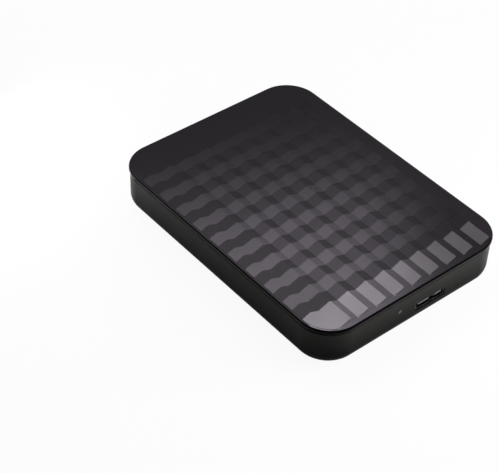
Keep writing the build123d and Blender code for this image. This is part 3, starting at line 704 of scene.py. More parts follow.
@dataclass(frozen=True)
class WoundLoop(Finish):
    """Flat coil of many turns that follow the edges of a sector about an upright axis."""

    centre: Axis
    middle_deg: float
    half_deg: float
    inner: float
    outer: float
    # Painted shade: the hollow colour darkens the grooves between turns.
    hollow: Colour = (0.3, 0.09, 0.03)
    crest: Colour = (0.78, 0.36, 0.15)
    turn_mm: float = 0.16
    depth_mm: float = 0.05
    metal: float = 0.8
    roughness: float = 0.3

    def paint(self, bench: ShaderBench) -> None:
        """Adds the finish's nodes.

        Args:
            bench: Bench of its material.
        """
        reach = bench.reach(self.centre)
        swung = bench.bearing(self.centre) - math.radians(self.middle_deg)
        swung = swung.math("SINE").math("ARCSINE")
        side = (math.radians(self.half_deg) - abs(swung)) * reach
        depth = (reach - self.inner).lower_of(self.outer - reach).lower_of(side)
        turns = depth.ripple(self.turn_mm)
        enamel = bench.noise(per_mm=1.2, detail=4.0)
        # Painted shade in the grooves between turns.
        tone = bench.mix(turns.blend(enamel, 0.3), self.hollow, self.crest)
        rough = self.roughness + enamel.swing(0.2)
        bench.surface(
            tone, rough, bench.bump(turns, self.depth_mm), {"Metallic": self.metal, **VARNISH})


@dataclass(frozen=True)
class PlatedMetal(Finish):
    """Bright plating with specks and a slight orange peel."""

    dark: Colour
    light: Colour
    roughness: float = 0.2
    peel_mm: float = 0.004

    def paint(self, bench: ShaderBench) -> None:
        """Adds the finish's nodes.

        Args:
            bench: Bench of its material.
        """
        peel = bench.noise(per_mm=1.4, detail=3.0)
        speck = bench.cells(per_mm=1.8).rise(0.05, 0.2)
        tone = bench.mix(peel.blend(speck, 0.5), self.dark, self.light)
        rough = self.roughness + peel.swing(0.18) + (1 - speck) * 0.15
        bench.surface(tone, rough, bench.bump(peel, self.peel_mm), BARE_METAL)


@dataclass(frozen=True)
class FilterCloth(Finish):
    """White pressed fibre."""

    shade: Colour = (0.62, 0.6, 0.55)
    fibre: Colour = (0.9, 0.89, 0.86)
    roughness: float = 0.9
    strand_mm: float = 0.05

    def paint(self, bench: ShaderBench) -> None:
        """Adds the finish's nodes.

        Args:
            bench: Bench of its material.
        """
        fluff = bench.noise(per_mm=3.0, detail=6.0)
        strand = bench.cells(per_mm=4.0, feature="DISTANCE_TO_EDGE").rise(0.0, 0.12)
        tone = bench.mix(fluff.blend(strand, 0.5), self.shade, self.fibre)
        bench.surface(tone, self.roughness, bench.bump(1 - strand, self.strand_mm))


@dataclass(frozen=True)
class MouldedPolymer(Finish):
    """Moulded plastic with faint flow lines."""

    dark: Colour
    light: Colour
    roughness: float = 0.45
    grain_mm: float = 0.004

    def paint(self, bench: ShaderBench) -> None:
        """Adds the finish's nodes.

        Args:
            bench: Bench of its material.
        """
        flow = bench.noise(per_mm=0.5, detail=5.0)
        grain = bench.noise(per_mm=6.0, detail=2.0)
        tone = bench.mix(flow.blend(grain, 0.3), self.dark, self.light)
        rough = self.roughness + flow.swing(0.15)
        bench.surface(tone, rough, bench.bump(grain, self.grain_mm))


@dataclass(frozen=True)
class AmberFlex(Finish):
    """Amber film with copper tracks along it."""

    low_mm: float
    dark: Colour = (0.42, 0.19, 0.03)
    light: Colour = (0.6, 0.3, 0.06)
    copper: Colour = (0.5, 0.22, 0.1)
    track_mm: float = 0.5
    depth_mm: float = 0.02
    coat: float = 0.4
    roughness: float = 0.25

    def paint(self, bench: ShaderBench) -> None:
        """Adds the finish's nodes.

        Args:
            bench: Bench of its material.
        """
        turn = ((bench.z - self.low_mm) / self.track_mm).fraction()
        track = abs(turn - 0.5).inside(0.24, 0.06)
        cloud = bench.noise(per_mm=0.8, detail=3.0)
        film = bench.mix(cloud, self.dark, self.light)
        tone = bench.mix(track * 0.75, film, self.copper)
        bench.surface(tone, self.roughness + cloud * 0.15, bench.bump(track, self.depth_mm), {
            "Metallic": track * 0.4,
            "Coat Weight": self.coat,
        })


@dataclass(frozen=True)
class SolderMask(Finish):
    """Green board with raised tracks and tinned dots."""

    dark: Colour = (0.008, 0.06, 0.03)
    light: Colour = (0.014, 0.085, 0.045)
    track: Colour = (0.03, 0.17, 0.08)
    tin: Colour = (0.6, 0.58, 0.5)
    pitch_mm: float = 1.27
    half_track_mm: float = 0.13
    dot_mm: float = 0.28
    edge_soft: float = 0.04
    depth_mm: float = 0.03
    roughness: float = 0.32

    def paint(self, bench: ShaderBench) -> None:
        """Adds the finish's nodes.

        Args:
            bench: Bench of its material.
        """
        pitch, soft = self.pitch_mm, self.edge_soft
        lane_x, lane_y = (
            abs((place / pitch).fraction() - 0.5) * pitch for place in (bench.x, bench.y))
        choice = bench.noise(per_mm=0.14, detail=0.0).rise(0.48, 0.52)
        track = lane_x.inside(self.half_track_mm, soft) * choice
        track = track.higher_of(lane_y.inside(self.half_track_mm, soft) * (1 - choice))
        dot = ((lane_x * lane_x + lane_y * lane_y) ** 0.5).inside(self.dot_mm, soft)
        dot = dot * bench.noise(per_mm=0.6, detail=0.0).rise(0.6, 0.62)
        weave = bench.noise(per_mm=2.5, detail=3.0)
        tone = bench.mix(track, bench.mix(weave, self.dark, self.light), self.track)
        tone = bench.mix(dot, tone, self.tin)
        normal = bench.bump(track.higher_of(dot), self.depth_mm)
        bench.surface(tone, self.roughness + weave.swing(0.15), normal, {"Metallic": dot})


@dataclass(frozen=True)
class ChipPackage(Finish):
    """Black moulded package with a ground top."""

    dark: Colour = (0.012, 0.012, 0.013)
    light: Colour = (0.04, 0.04, 0.042)
    roughness: float = 0.5
    filler_mm: float = 0.006

    def paint(self, bench: ShaderBench) -> None:
        """Adds the finish's nodes.

        Args:
            bench: Bench of its material.
        """
        filler = bench.cells(per_mm=7.0)
        cloud = bench.noise(per_mm=0.7, detail=3.0)
        tone = bench.mix(filler.blend(cloud, 0.5), self.dark, self.light)
        rough = self.roughness + cloud.swing(0.2)
        bench.surface(tone, rough, bench.bump(filler, self.filler_mm))


@dataclass(frozen=True)
class CapacitorBody(Finish):
    """Tan ceramic with tinned ends."""

    first_y: float
    pitch: float
    length: float
    dark: Colour = (0.36, 0.24, 0.14)
    light: Colour = (0.5, 0.36, 0.22)
    tin: Colour = (0.66, 0.65, 0.62)
    cap_mm: float = 0.3
    edge_soft: float = 0.04
    grain_mm: float = 0.01
    roughness: float = 0.5

    def paint(self, bench: ShaderBench) -> None:
        """Adds the finish's nodes.

        Args:
            bench: Bench of its material.
        """
        edge = self.length / 2 - self.cap_mm
        cap = bench.y.away(self.first_y, self.pitch).rise(edge, edge + self.edge_soft)
        grain = bench.noise(per_mm=5.0, detail=3.0)
        tone = bench.mix(cap, bench.mix(grain, self.dark, self.light), self.tin)
        normal = bench.bump(grain, self.grain_mm)
        bench.surface(tone, self.roughness - cap * 0.2, normal, {"Metallic": cap})


@dataclass(frozen=True)
class ClearLens(Finish):
    """Clear moulded plastic with a frosted nose: painted shade below a slanted painted highlight.
    """

    nose: Point
    highlight_slant: float = 0.43
    # Painted shade, used below the slanted line.
    shade: Colour = (0.006, 0.006, 0.006)
    dark: Colour = (0.07, 0.07, 0.07)
    light: Colour = (0.11, 0.11, 0.11)
    frost_mm: float = 0.6
    edge_soft: float = 0.12
    haze_mm: float = 0.004
    roughness: float = 0.12
    clear_share: float = 0.15
    ior: float = 1.49

    def paint(self, bench: ShaderBench) -> None:
        """Adds the finish's nodes.

        Args:
            bench: Bench of its material.
        """
        x, y, z = self.nose
        frost = 1 - bench.y.rise(y, y + self.frost_mm)
        haze = bench.noise(per_mm=4.0, detail=3.0)
        # Painted highlight above a slanted line across the nose, painted shade below it.
        slanted = bench.z - z - (bench.x - x) * self.highlight_slant
        painted_highlight = slanted.rise(-self.edge_soft, self.edge_soft)
        tone = bench.mix(haze * 0.3 + frost * 0.5, self.dark, self.light)
        tone = bench.mix(painted_highlight, self.shade, tone)
        rough = self.roughness + frost * 0.3 + haze * 0.05
        bench.surface(tone, rough, bench.bump(haze, self.haze_mm), {
            "Transmission Weight": self.clear_share,
            "IOR": self.ior,
        })


@dataclass(frozen=True)
class FoilSheet(Finish):
    """Thin metal sheet with shallow dents."""

    dark: Colour
    light: Colour
    roughness: float = 0.28
    dent_mm: float = 0.12
    rolled_mm: float = 0.002

    def paint(self, bench: ShaderBench) -> None:
        """Adds the finish's nodes.

        Args:
            bench: Bench of its material.
        """
        dents = bench.noise(per_mm=0.25, detail=3.0)
        drawn = bench.stretch(bench.place, Run.ALONG_Y.value)
        rolled = bench.noise(per_mm=6.0, detail=2.0, vector=drawn)
        tone = bench.mix(dents.blend(rolled, 0.5), self.dark, self.light)
        normal = bench.bump(rolled, self.rolled_mm, bench.bump(dents, self.dent_mm))
        bench.surface(tone, self.roughness + rolled.swing(0.15), normal, BARE_METAL)


SCREW_STEEL = PlatedMetal("screw_steel", grey(0.3), grey(0.5))
MAGNET_COAT = PlatedMetal("magnet_coat", grey(0.34), grey(0.56), roughness=0.3)
TINNED = PlatedMetal("can_metal", dark=(0.52, 0.52, 0.5), light=(0.76, 0.76, 0.74))
COPPER = CopperWire("copper_wire")
CHIP_BLACK = ChipPackage("chip_black")


def turned_steel(centre: Axis) -> Finish:
    """Turned steel about an upright axis."""
    return TurnedMetal("turned_steel", grey(0.42), grey(0.62), centre)


def linked(name: str, mesh: bpy.types.Mesh) -> bpy.types.Object:
    """New object in the scene.

    Args:
        name: Name of the piece.
        mesh: Its mesh, in place.

    Returns:
        The object, at the origin.
    """
    piece = bpy.data.objects.new(name, mesh)
    bpy.context.scene.collection.objects.link(piece)
    return piece


def plain_mesh(piece: bpy.types.Object) -> bpy.types.Object:
    """Turns a piece with modifiers into a plain mesh.

    Args:
        piece: Piece with live modifiers.

    Returns:
        The same piece, with the modifiers' result as its mesh.
    """
    bpy.context.view_layer.update()
    evaluated = piece.evaluated_get(bpy.context.evaluated_depsgraph_get())
    mesh = bpy.data.meshes.new_from_object(evaluated)
    piece.modifiers.clear()
    piece.data = mesh
    return piece


class TreeBench(NodeBench):
    """Node bench of one geometry tree whose inputs are named sizes."""

    def __init__(self, name: str, sizes: Sizes) -> None:
        """Opens the tree and its inputs.

        Args:
            name: Name of the tree.
            sizes: First values of its inputs, by name; a whole number makes a counting input.
        """
        super().__init__(bpy.data.node_groups.new(name, "GeometryNodeTree"))
        sockets = self.tree.interface
        self.inputs: dict[str, str] = {}
        for label, value in sizes.items():
            kind = "NodeSocketInt" if isinstance(value, int) else "NodeSocketFloat"
            item = sockets.new_socket(label, in_out="INPUT", socket_type=kind)
            self.inputs[label] = item.identifier
        sockets.new_socket("Geometry", in_out="OUTPUT", socket_type="NodeSocketGeometry")
        self.entry = self.node("NodeGroupInput")

    def size(self, label: str) -> Wire:
        """Value of a named input."""
        return Wire(self, self.entry.outputs[label])

    def vector(self, x: Term, y: Term, z: Term) -> Wire:
        """Vector of three numbers."""
        return self.out("ShaderNodeCombineXYZ", None, {0: x, 1: y, 2: z})

    def moved(
        self, shape: Wire, offset: Wire | Point, turn: Wire | Point = (0.0, 0.0, 0.0)
    ) -> Wire:
        """Shape turned about the origin, by angles in radians, and then moved."""
        sockets = {0: shape, "Translation": offset, "Rotation": turn}
        return self.out("GeometryNodeTransform", None, sockets)

    def joined(self, shapes: Sequence[Wire]) -> Wire:
        """All shapes as one.

        Args:
            shapes: Shapes to join.

        Returns:
            The joined shape.
        """
        join = self.node("GeometryNodeJoinGeometry")
        for shape in shapes:
            self.tree.links.new(shape.socket, join.inputs[0])
        return Wire(self, join.outputs[0])

    def swept(self, path: Wire, profile: Wire) -> Wire:
        """Closed bar with a profile along a path."""
        sockets = {"Curve": path, "Profile Curve": profile, "Fill Caps": True}
        return self.out("GeometryNodeCurveToMesh", None, sockets)

    def close(self, shape: Wire, finish: Finish) -> None:
        """Ends the tree with real meshes in one material.

        Args:
            shape: Shape that the tree makes.
            finish: Its finish.
        """
        real = self.out("GeometryNodeRealizeInstances", None, {0: shape})
        sockets = {0: real, "Material": material_of(finish)}
        dressed = self.out("GeometryNodeSetMaterial", None, sockets)
        self.node("NodeGroupOutput", None, {0: dressed})

    def piece(self, name: str, sizes: Sizes) -> bpy.types.Object:
        """Plain mesh that the tree makes for a set of sizes.

        Args:
            name: Name of the piece.
            sizes: Values of the tree's inputs, by name.

        Returns:
            The piece.
        """
        made = linked(name, bpy.data.meshes.new(name))
        modifier = made.modifiers.new(name, "NODES")
        modifier.node_group = self.tree
        for label, value in sizes.items():
            modifier[self.inputs[label]] = value
        return plain_mesh(made)


@dataclass(frozen=True)
class ToothWindings:
    """Layers of wire round every tooth of a stator, in millimetres."""

    teeth: int = 9
    turns: float = 9.5
    run: float = 1.8
    inner: float = 4.9
    half_width: float = 1.0
    half_height: float = 0.95
    wire: float = 0.17
    wire_sides: int = 6
    turn_steps: int = 12
    roundness: float = 0.75
    layer_depths: tuple[float, ...] = (0.5, 1.5)

    def sizes(self, centre: Axis, middle: float) -> Sizes:
        """Values of the tree's inputs.

        Args:
            centre: Place of the stator's axis.
            middle: Height of the teeth's middle.

        Returns:
            The values in metres, by name.
        """
        return {
            "Teeth": self.teeth,
            "Turns": self.turns,
            "Run": (self.run - self.wire) * MM,
            "Inner radius": (self.inner + self.wire / 2) * MM,
            "Half width": self.half_width * MM,
            "Half height": self.half_height * MM,
            "Wire": self.wire * MM,
            "Centre X": centre[0] * MM,
            "Centre Y": centre[1] * MM,
            "Middle Z": middle * MM,
        }

    def layer(self, bench: TreeBench, depth: float) -> Wire:
        """One layer of turns on the tooth that points along +X.

        Args:
            bench: Tree to add to.
            depth: Depth of the layer's middle below the outside, in wires.

        Returns:
            The layer.
        """
        sockets = {
            "Resolution": self.turn_steps,
            "Rotations": bench.size("Turns"),
            "Start Radius": 1.0,
            "End Radius": 1.0,
            "Height": bench.size("Run"),
        }
        helix = bench.out("GeometryNodeCurveSpiral", None, sockets)
        spot = bench.out("GeometryNodeInputPosition")
        parts = bench.node("ShaderNodeSeparateXYZ", None, {0: spot})
        up, side, along = (Wire(bench, socket) for socket in parts.outputs)
        square = abs(up).higher_of(abs(side)) ** self.roundness
        inset = bench.size("Wire") * depth
        height = bench.size("Half height") - inset
        width = bench.size("Half width") - inset
        place = bench.vector(up / square * height, side / square * width, along)
        path = bench.out("GeometryNodeSetPosition", None, {0: helix, "Position": place})
        sockets = {"Resolution": self.wire_sides, "Radius": bench.size("Wire") * 0.5}
        round_wire = bench.out("GeometryNodeCurvePrimitiveCircle", None, sockets)
        turns = bench.out("GeometryNodeSetShadeSmooth", None, {0: bench.swept(path, round_wire)})
        offset = bench.vector(bench.size("Inner radius"), 0.0, 0.0)
        return bench.moved(turns, offset, (0.0, math.pi / 2, 0.0))

    def piece(self, name: str, centre: Axis, middle: float, finish: Finish) -> bpy.types.Object:
        """Makes the windings of all teeth.

        Args:
            name: Name of the piece.
            centre: Place of the stator's axis.
            middle: Height of the teeth's middle.
            finish: Finish of the wire.

        Returns:
            The piece.
        """
        sizes = self.sizes(centre, middle)
        bench = TreeBench(name, sizes)
        one = bench.joined([self.layer(bench, depth) for depth in self.layer_depths])
        teeth = bench.size("Teeth")
        spots = bench.out("GeometryNodePoints", None, {"Count": teeth})
        turn = bench.out("GeometryNodeInputIndex") * (2 * math.pi) / teeth
        sockets = {"Points": spots, "Instance": one, "Rotation": bench.vector(0.0, 0.0, turn)}
        ring = bench.out("GeometryNodeInstanceOnPoints", None, sockets)
        axis = bench.vector(*(bench.size(label) for label in ("Centre X", "Centre Y", "Middle Z")))
        bench.close(bench.moved(ring, axis), finish)
        return bench.piece(name, sizes)


@dataclass(frozen=True)
class LeadFrame:
    """Bent leads along the four sides of chip packages, in millimetres.

    The root, shoulder and toe of a lead's bend are shares of its reach.
    """

    pitch: float = 0.5
    width: float = 0.22
    thickness: float = 0.12
    exit_height: float = 0.35
    reach: float = 0.55
    root: float = -0.05
    shoulder: float = 0.6
    toe: float = 0.4
    bend_steps: int = 8
    corner_leads: int = 2

    def sizes(self, low: Point, high: Point) -> Sizes:
        """Values of the tree's inputs for one package.

        Args:
            low: Lowest corner of the package's box, in metres.
            high: Highest corner of the package's box, in metres.

        Returns:
            The values in metres, by name.
        """
        half = [(high[axis] - low[axis]) / 2 for axis in (0, 1)]
        return {
            "Leads": int(2 * min(half) / (self.pitch * MM)) - self.corner_leads,
            "Pitch": self.pitch * MM,
            "Half X": half[0],
            "Half Y": half[1],
            "Lead width": self.width * MM,
            "Lead thickness": self.thickness * MM,
            "Exit height": self.exit_height * MM,
            "Reach": self.reach * MM,
            "Centre X": (high[0] + low[0]) / 2,
            "Centre Y": (high[1] + low[1]) / 2,
            "Board Z": low[2],
        }

    def lead(self, bench: TreeBench) -> Wire:
        """One lead that leaves its package along +X and bends down to the board.

        Args:
            bench: Tree to add to.

        Returns:
            The lead.
        """
        top, reach = bench.size("Exit height"), bench.size("Reach")
        foot = bench.size("Lead thickness") * 0.5
        sockets = {
            "Resolution": self.bend_steps,
            "Start": bench.vector(reach * self.root, 0.0, top),
            "Start Handle": bench.vector(reach * self.shoulder, 0.0, top),
            "End Handle": bench.vector(reach * self.toe, 0.0, foot),
            "End": bench.vector(reach, 0.0, foot),
        }
        settings = {"mode": "POSITION"}
        path = bench.out("GeometryNodeCurvePrimitiveBezierSegment", settings, sockets)
        sockets = {"Width": bench.size("Lead thickness"), "Height": bench.size("Lead width")}
        bar = bench.out("GeometryNodeCurvePrimitiveQuadrilateral", None, sockets)
        return bench.swept(path, bar)

    @staticmethod
    def row(bench: TreeBench, lead: Wire, half: str) -> Wire:
        """Row of leads along the side that faces +X.

        Args:
            bench: Tree to add to.
            lead: One lead.
            half: Name of the input that holds the side's distance.

        Returns:
            The row's instances.
        """
        pitch, count = bench.size("Pitch"), bench.size("Leads")
        sockets = {
            "Count": count,
            "Start Location": bench.vector(bench.size(half), (count - 1) * pitch * -0.5, 0.0),
            "Offset": bench.vector(0.0, pitch, 0.0),
        }
        spots = bench.out("GeometryNodeMeshLine", {"mode": "OFFSET"}, sockets)
        return bench.out("GeometryNodeInstanceOnPoints", None, {"Points": spots, "Instance": lead})

    def tree(self, sizes: Sizes, finish: Finish) -> TreeBench:
        """Builds the tree that all packages share.

        Args:
            sizes: First values of its inputs.
            finish: Finish of the leads.

        Returns:
            The closed tree.
        """
        bench = TreeBench("chip_leads", sizes)
        lead = self.lead(bench)
        sides = []
        for quarter, half in enumerate(("Half X", "Half Y", "Half X", "Half Y")):
            turn = (0.0, 0.0, quarter * math.pi / 2)
            sides.append(bench.moved(self.row(bench, lead, half), (0.0, 0.0, 0.0), turn))
        place = bench.vector(*(bench.size(label) for label in ("Centre X", "Centre Y", "Board Z")))
        bench.close(bench.moved(bench.joined(sides), place), finish)
        return bench


def smooth_copy(node: str, name: str) -> bpy.types.Object:
    """Copy of a solid whose round faces are shaded evenly between its sharp edges.

    Args:
        node: Name of the solid's node.
        name: Name of the piece that stands for it.

    Returns:
        The piece.
    """
    form = bmesh.new()
    form.from_mesh(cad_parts[node].data)
    bmesh.ops.remove_doubles(form, verts=form.verts, dist=SOLID_MERGE)
    for face in form.faces:
        face.smooth = True
        face.material_index = 0
    mesh = bpy.data.meshes.new(name)
    form.to_mesh(mesh)
    form.free()
    for layer in ("custom_normal", "sharp_edge"):
        if layer in mesh.attributes:
            mesh.attributes.remove(mesh.attributes[layer])
    mesh.set_sharp_from_angle(angle=math.radians(CREASE_DEG))
    piece = linked(name, mesh)
    even = piece.modifiers.new("even_shading", "WEIGHTED_NORMAL")
    even.mode = "FACE_AREA"
    even.weight = EVEN_WEIGHT
    even.keep_sharp = True
    return plain_mesh(piece)


@dataclass
class SubAssembly(ABC):
    """Group of pieces that are built and finished together."""

    def build(self) -> None:
        """Makes the meshes that the solids don't have."""

    @abstractmethod
    def dress(self) -> None:
        """Gives every piece its finish."""

    @staticmethod
    def coat(finish: Finish, *nodes: str) -> None:
        """Gives solids their finish.

        Args:
            finish: Finish to use.
            nodes: Names of the solids' nodes.
        """
        for node in nodes:
            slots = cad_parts[node].material_slots
            if not slots:
                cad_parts[node].data.materials.append(material_of(finish))
            for slot in slots:
                slot.material = material_of(finish)
            LOG.info("%s: %s", node, type(finish).__name__)

    @staticmethod
    def fit(piece: bpy.types.Object, finish: Finish, body: Body, *nodes: str) -> None:
        """Gives a new piece its finish and its place on a body.

        Args:
            piece: New piece.
            finish: Finish to use.
            body: Body that it moves with.
            nodes: Names of the solids that it stands for.
        """
        piece.data.materials.clear()
        piece.data.materials.append(material_of(finish))
        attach(piece, body.value)
        if nodes:
            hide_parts(*nodes)
        LOG.info("%s: %s, %d faces", piece.name, type(finish).__name__, len(piece.data.polygons))


@dataclass
class OuterCase(SubAssembly):
    """Lid, tray, lamp and the soft cups that hold the drive."""

    columns: Bands = Bands(
        wide_start=-40.0, wide_end=-27.5, first=-25.5, width=5.4, pitch=7.9, count=8)
    rows: Bands = Bands(
        wide_start=-56.5, wide_end=-43.5, first=-38.4, width=4.7, pitch=9.35, count=9)
    row_rise: float = 1.1
    check_front: float = -53.5
    # Top of the painted shade on the lid's side.
    lid_shaded_side_top: float = 17.38
    # Heights of the tray's painted shade: full below the first, gone above the second.
    tray_shade_full: float = 5.5
    tray_shade_top: float = 14.5
    lamp_nose: Point = (-7.8, -55.6, 10.4)
    cups: tuple[str, ...] = ("front_left", "front_right", "rear_left", "rear_right")
    pieces: dict[str, bpy.types.Object] = field(default_factory=dict)

    def build(self) -> None:
        """Makes evenly shaded copies of the outer shells."""
        for node in ("top_cover", "bottom_case", "light_pipe"):
            self.pieces[node] = smooth_copy(node, f"{node}_skin")

    def check(self) -> Finish:
        """Check of the lid, whose parts differ in tone and in how they mirror.

        Returns:
            The lid's finish.
        """
        return CheckedGloss(
            slot="lid_check",
            columns=self.columns,
            rows=self.rows,
            ground=Tint((0.0245, 0.0207, 0.0256), metal=0.15),
            column=Tint((0.0380, 0.0334, 0.0395), metal=0.62),
            row=Tint((0.0468, 0.0419, 0.0486), metal=0.73),
            wide_row=Tint((0.0563, 0.0504, 0.0585), metal=0.88),
            crossing=Tint((0.0580, 0.0526, 0.0598), metal=1.0),
            wide_crossing=Tint((0.1640, 0.1520, 0.1665), metal=0.56),
            # Painted shade on the lid's side.
            side=(0.003, 0.0028, 0.003),
            margin_fade=0.75,
            margin_cross_fade=0.3,
            row_rise=self.row_rise,
            front=self.check_front,
            shaded_side_top=self.lid_shaded_side_top,
        )

    def dress(self) -> None:
        """Gives every piece its finish."""
        tray = GrainedShell(
            slot="case_grey",
            dark=(0.0195, 0.0186, 0.0178),
            light=(0.0275, 0.0264, 0.0254),
            # Painted shade towards the tray's foot.
            foot=(0.0055, 0.0053, 0.0051),
            shade_full_mm=self.tray_shade_full,
            shade_top_mm=self.tray_shade_top,
        )
        lamp = ClearLens("lamp_clear", self.lamp_nose)
        rubber = SoftRubber("cup_rubber", grey(0.018), grey(0.05))
        self.fit(self.pieces["top_cover"], self.check(), Body.CASE, "top_cover")
        self.fit(self.pieces["bottom_case"], tray, Body.CASE, "bottom_case")
        self.fit(self.pieces["light_pipe"], lamp, Body.CASE, "light_pipe")
        self.coat(rubber, *(f"bumper_{end}" for end in self.cups))


@dataclass
class SocketEnd(SubAssembly):
    """Two-part socket in the front wall."""

    pieces: dict[str, bpy.types.Object] = field(default_factory=dict)

    def build(self) -> None:
        """Makes an evenly shaded copy of the folded shell."""
        self.pieces["usb_socket"] = smooth_copy("usb_socket", "socket_shell")

    def dress(self) -> None:
        """Gives every piece its finish."""
        shell = PlatedMetal("shell_metal", grey(0.08), grey(0.14), roughness=0.34)
        tongue = MouldedPolymer("tongue_grey", grey(0.1), grey(0.16))
        gold = PlatedMetal("contact_gold", dark=(0.62, 0.4, 0.12), light=(0.86, 0.64, 0.26))
        self.fit(self.pieces["usb_socket"], shell, Body.CASE, "usb_socket")
        self.coat(tongue, "usb_tongue")
        self.coat(gold, "usb_contacts")


@dataclass
class DiskHousing(SubAssembly):
    """Cast base, stamped cover and what closes them."""

    def dress(self) -> None:
        """Gives every piece its finish."""
        cast = CastAlloy("cast_alloy", dark=(0.36, 0.37, 0.38), light=(0.58, 0.59, 0.6))
        sheet = BrushedSheet("cover_sheet", grey(0.48), grey(0.68), Run.ALONG_Y)
        seal = SoftRubber("seal_rubber", dark=(0.03, 0.03, 0.034), bloom=(0.07, 0.07, 0.075))
        self.coat(cast, "drive_base")
        self.coat(sheet, "drive_cover")
        self.coat(seal, "cover_seal")
        self.coat(SCREW_STEEL, "cover_screws", "pivot_screw")
        self.coat(FilterCloth("filter_paper"), "breather_filter", "recirculation_filter")


@dataclass
class SpindleMotor(SubAssembly):
    """Platters, hub and motor about the spindle's axis."""

    centre: Axis = (0.0, 12.950378)
    platter_radius: float = 32.5
    bore_radius: float = 10.0
    tooth_middle: float = 10.0
    windings: ToothWindings = ToothWindings()
    pieces: dict[str, bpy.types.Object] = field(default_factory=dict)

    def build(self) -> None:
        """Winds the wire on the stator's teeth."""
        wire = self.windings.piece("stator_wire_turns", self.centre, self.tooth_middle, COPPER)
        self.pieces["wire"] = wire

    def dress(self) -> None:
        """Gives every piece its finish."""
        alloy = TurnedMetal("hub_alloy", (0.52, 0.53, 0.54), (0.74, 0.75, 0.76), self.centre)
        disk = MirrorDisk("platter_mirror", self.centre, self.platter_radius, self.bore_radius)
        self.coat(turned_steel(self.centre), "spindle_sleeve", "spindle_shaft")
        self.coat(LaminatedCore("lamination"), "stator_core")
        self.fit(self.pieces["wire"], COPPER, Body.CASE, "stator_windings")
        self.coat(alloy, "spindle_hub", "platter_spacer", "disk_clamp")
        self.coat(SCREW_STEEL, "clamp_screw")
        self.coat(MAGNET_COAT, "rotor_magnet")
        self.coat(disk, "lower_platter", "upper_platter")


@dataclass
class HeadActuator(SubAssembly):
    """Swinging arms with their heads, coil, magnets, stops and ramp."""

    centre: Axis = (-10.9971, -25.050378)
    coil_deg: float = 226.506
    coil_half_deg: float = 20.0
    coil_inner: float = 9.6
    coil_outer: float = 19.5

    def dress(self) -> None:
        """Gives every piece its finish."""
        block = CastAlloy("cast_alloy", dark=(0.44, 0.45, 0.46), light=(0.62, 0.63, 0.64))
        coil = WoundLoop(
            "copper_wire", self.centre, self.coil_deg, self.coil_half_deg,
            self.coil_inner, self.coil_outer)
        spring = BrushedSheet(
            "suspension_steel", (0.5, 0.5, 0.48), (0.7, 0.7, 0.67), Run.ALONG_X, roughness=0.22)
        ceramic = MouldedPolymer(
            "slider_ceramic", (0.035, 0.035, 0.04), (0.08, 0.08, 0.09), roughness=0.15)
        yoke = PlatedMetal("yoke_plate", (0.48, 0.48, 0.46), (0.7, 0.7, 0.68), roughness=0.26)
        stop = SoftRubber("stop_rubber", dark=(0.05, 0.035, 0.03), bloom=(0.11, 0.085, 0.07))
        ramp = MouldedPolymer(
            "ramp_plastic", (0.66, 0.63, 0.54), (0.82, 0.8, 0.72), roughness=0.4)
        self.coat(turned_steel(self.centre), "pivot_shaft", "pivot_sleeve")
        self.coat(block, "actuator_block")
        self.coat(coil, "voice_coil")
        self.coat(spring, "suspensions")
        self.coat(ceramic, "head_sliders")
        self.coat(CHIP_BLACK, "preamp_chip")
        self.coat(yoke, "lower_yoke", "upper_yoke", "yoke_posts")
        self.coat(MAGNET_COAT, "lower_magnet", "upper_magnet")
        self.coat(stop, "crash_stops")
        self.coat(ramp, "park_ramp")


@dataclass
class FlexWiring(SubAssembly):
    """Connector, bracket and ribbon between the arm and the board."""

    ribbon_low: float = 9.7

    def dress(self) -> None:
        """Gives every piece its finish."""
        black = MouldedPolymer("connector_black", grey(0.012), grey(0.035))
        self.coat(black, "head_connector", "flex_bracket")
        self.coat(AmberFlex("flex_film", self.ribbon_low), "flex_ribbon")


@dataclass
class ControlBoard(SubAssembly):
    """Board under the drive with its components and shield."""

    capacitor_y: float = -32.2
    capacitor_pitch: float = 2.0
    capacitor_length: float = 1.6
    leads: LeadFrame = LeadFrame()
    leaded: tuple[str, ...] = ("controller_chip", "memory_chip", "motor_chip", "bridge_chip")
    pieces: list[bpy.types.Object] = field(default_factory=list)

    def build(self) -> None:
        """Bends the leads of the board's chips."""
        sizes = {chip: self.leads.sizes(*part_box(chip)) for chip in self.leaded}
        bench = self.leads.tree(sizes[self.leaded[0]], TINNED)
        for chip in self.leaded:
            self.pieces.append(bench.piece(f"{chip}_leads", sizes[chip]))

    def dress(self) -> None:
        """Gives every piece its finish."""
        for piece in self.pieces:
            self.fit(piece, TINNED, Body.CASE)
        foam = SoftRubber("insulator_film", grey(0.05), grey(0.1))
        tan = CapacitorBody(
            "capacitor_tan", self.capacitor_y, self.capacitor_pitch, self.capacitor_length)
        led = MouldedPolymer("led_body", (0.7, 0.74, 0.78), (0.85, 0.88, 0.92), roughness=0.2)
        foil = FoilSheet("shield_foil", grey(0.5), grey(0.76))
        self.coat(SolderMask("board_green"), "circuit_board")
        self.coat(foam, "board_insulator")
        self.coat(SCREW_STEEL, "board_screws")
        self.coat(CHIP_BLACK, *self.leaded, "power_inductor")
        self.coat(TINNED, "crystal_can")
        self.coat(tan, "ceramic_capacitors")
        self.coat(led, "activity_led")
        self.coat(foil, "shield_plate")


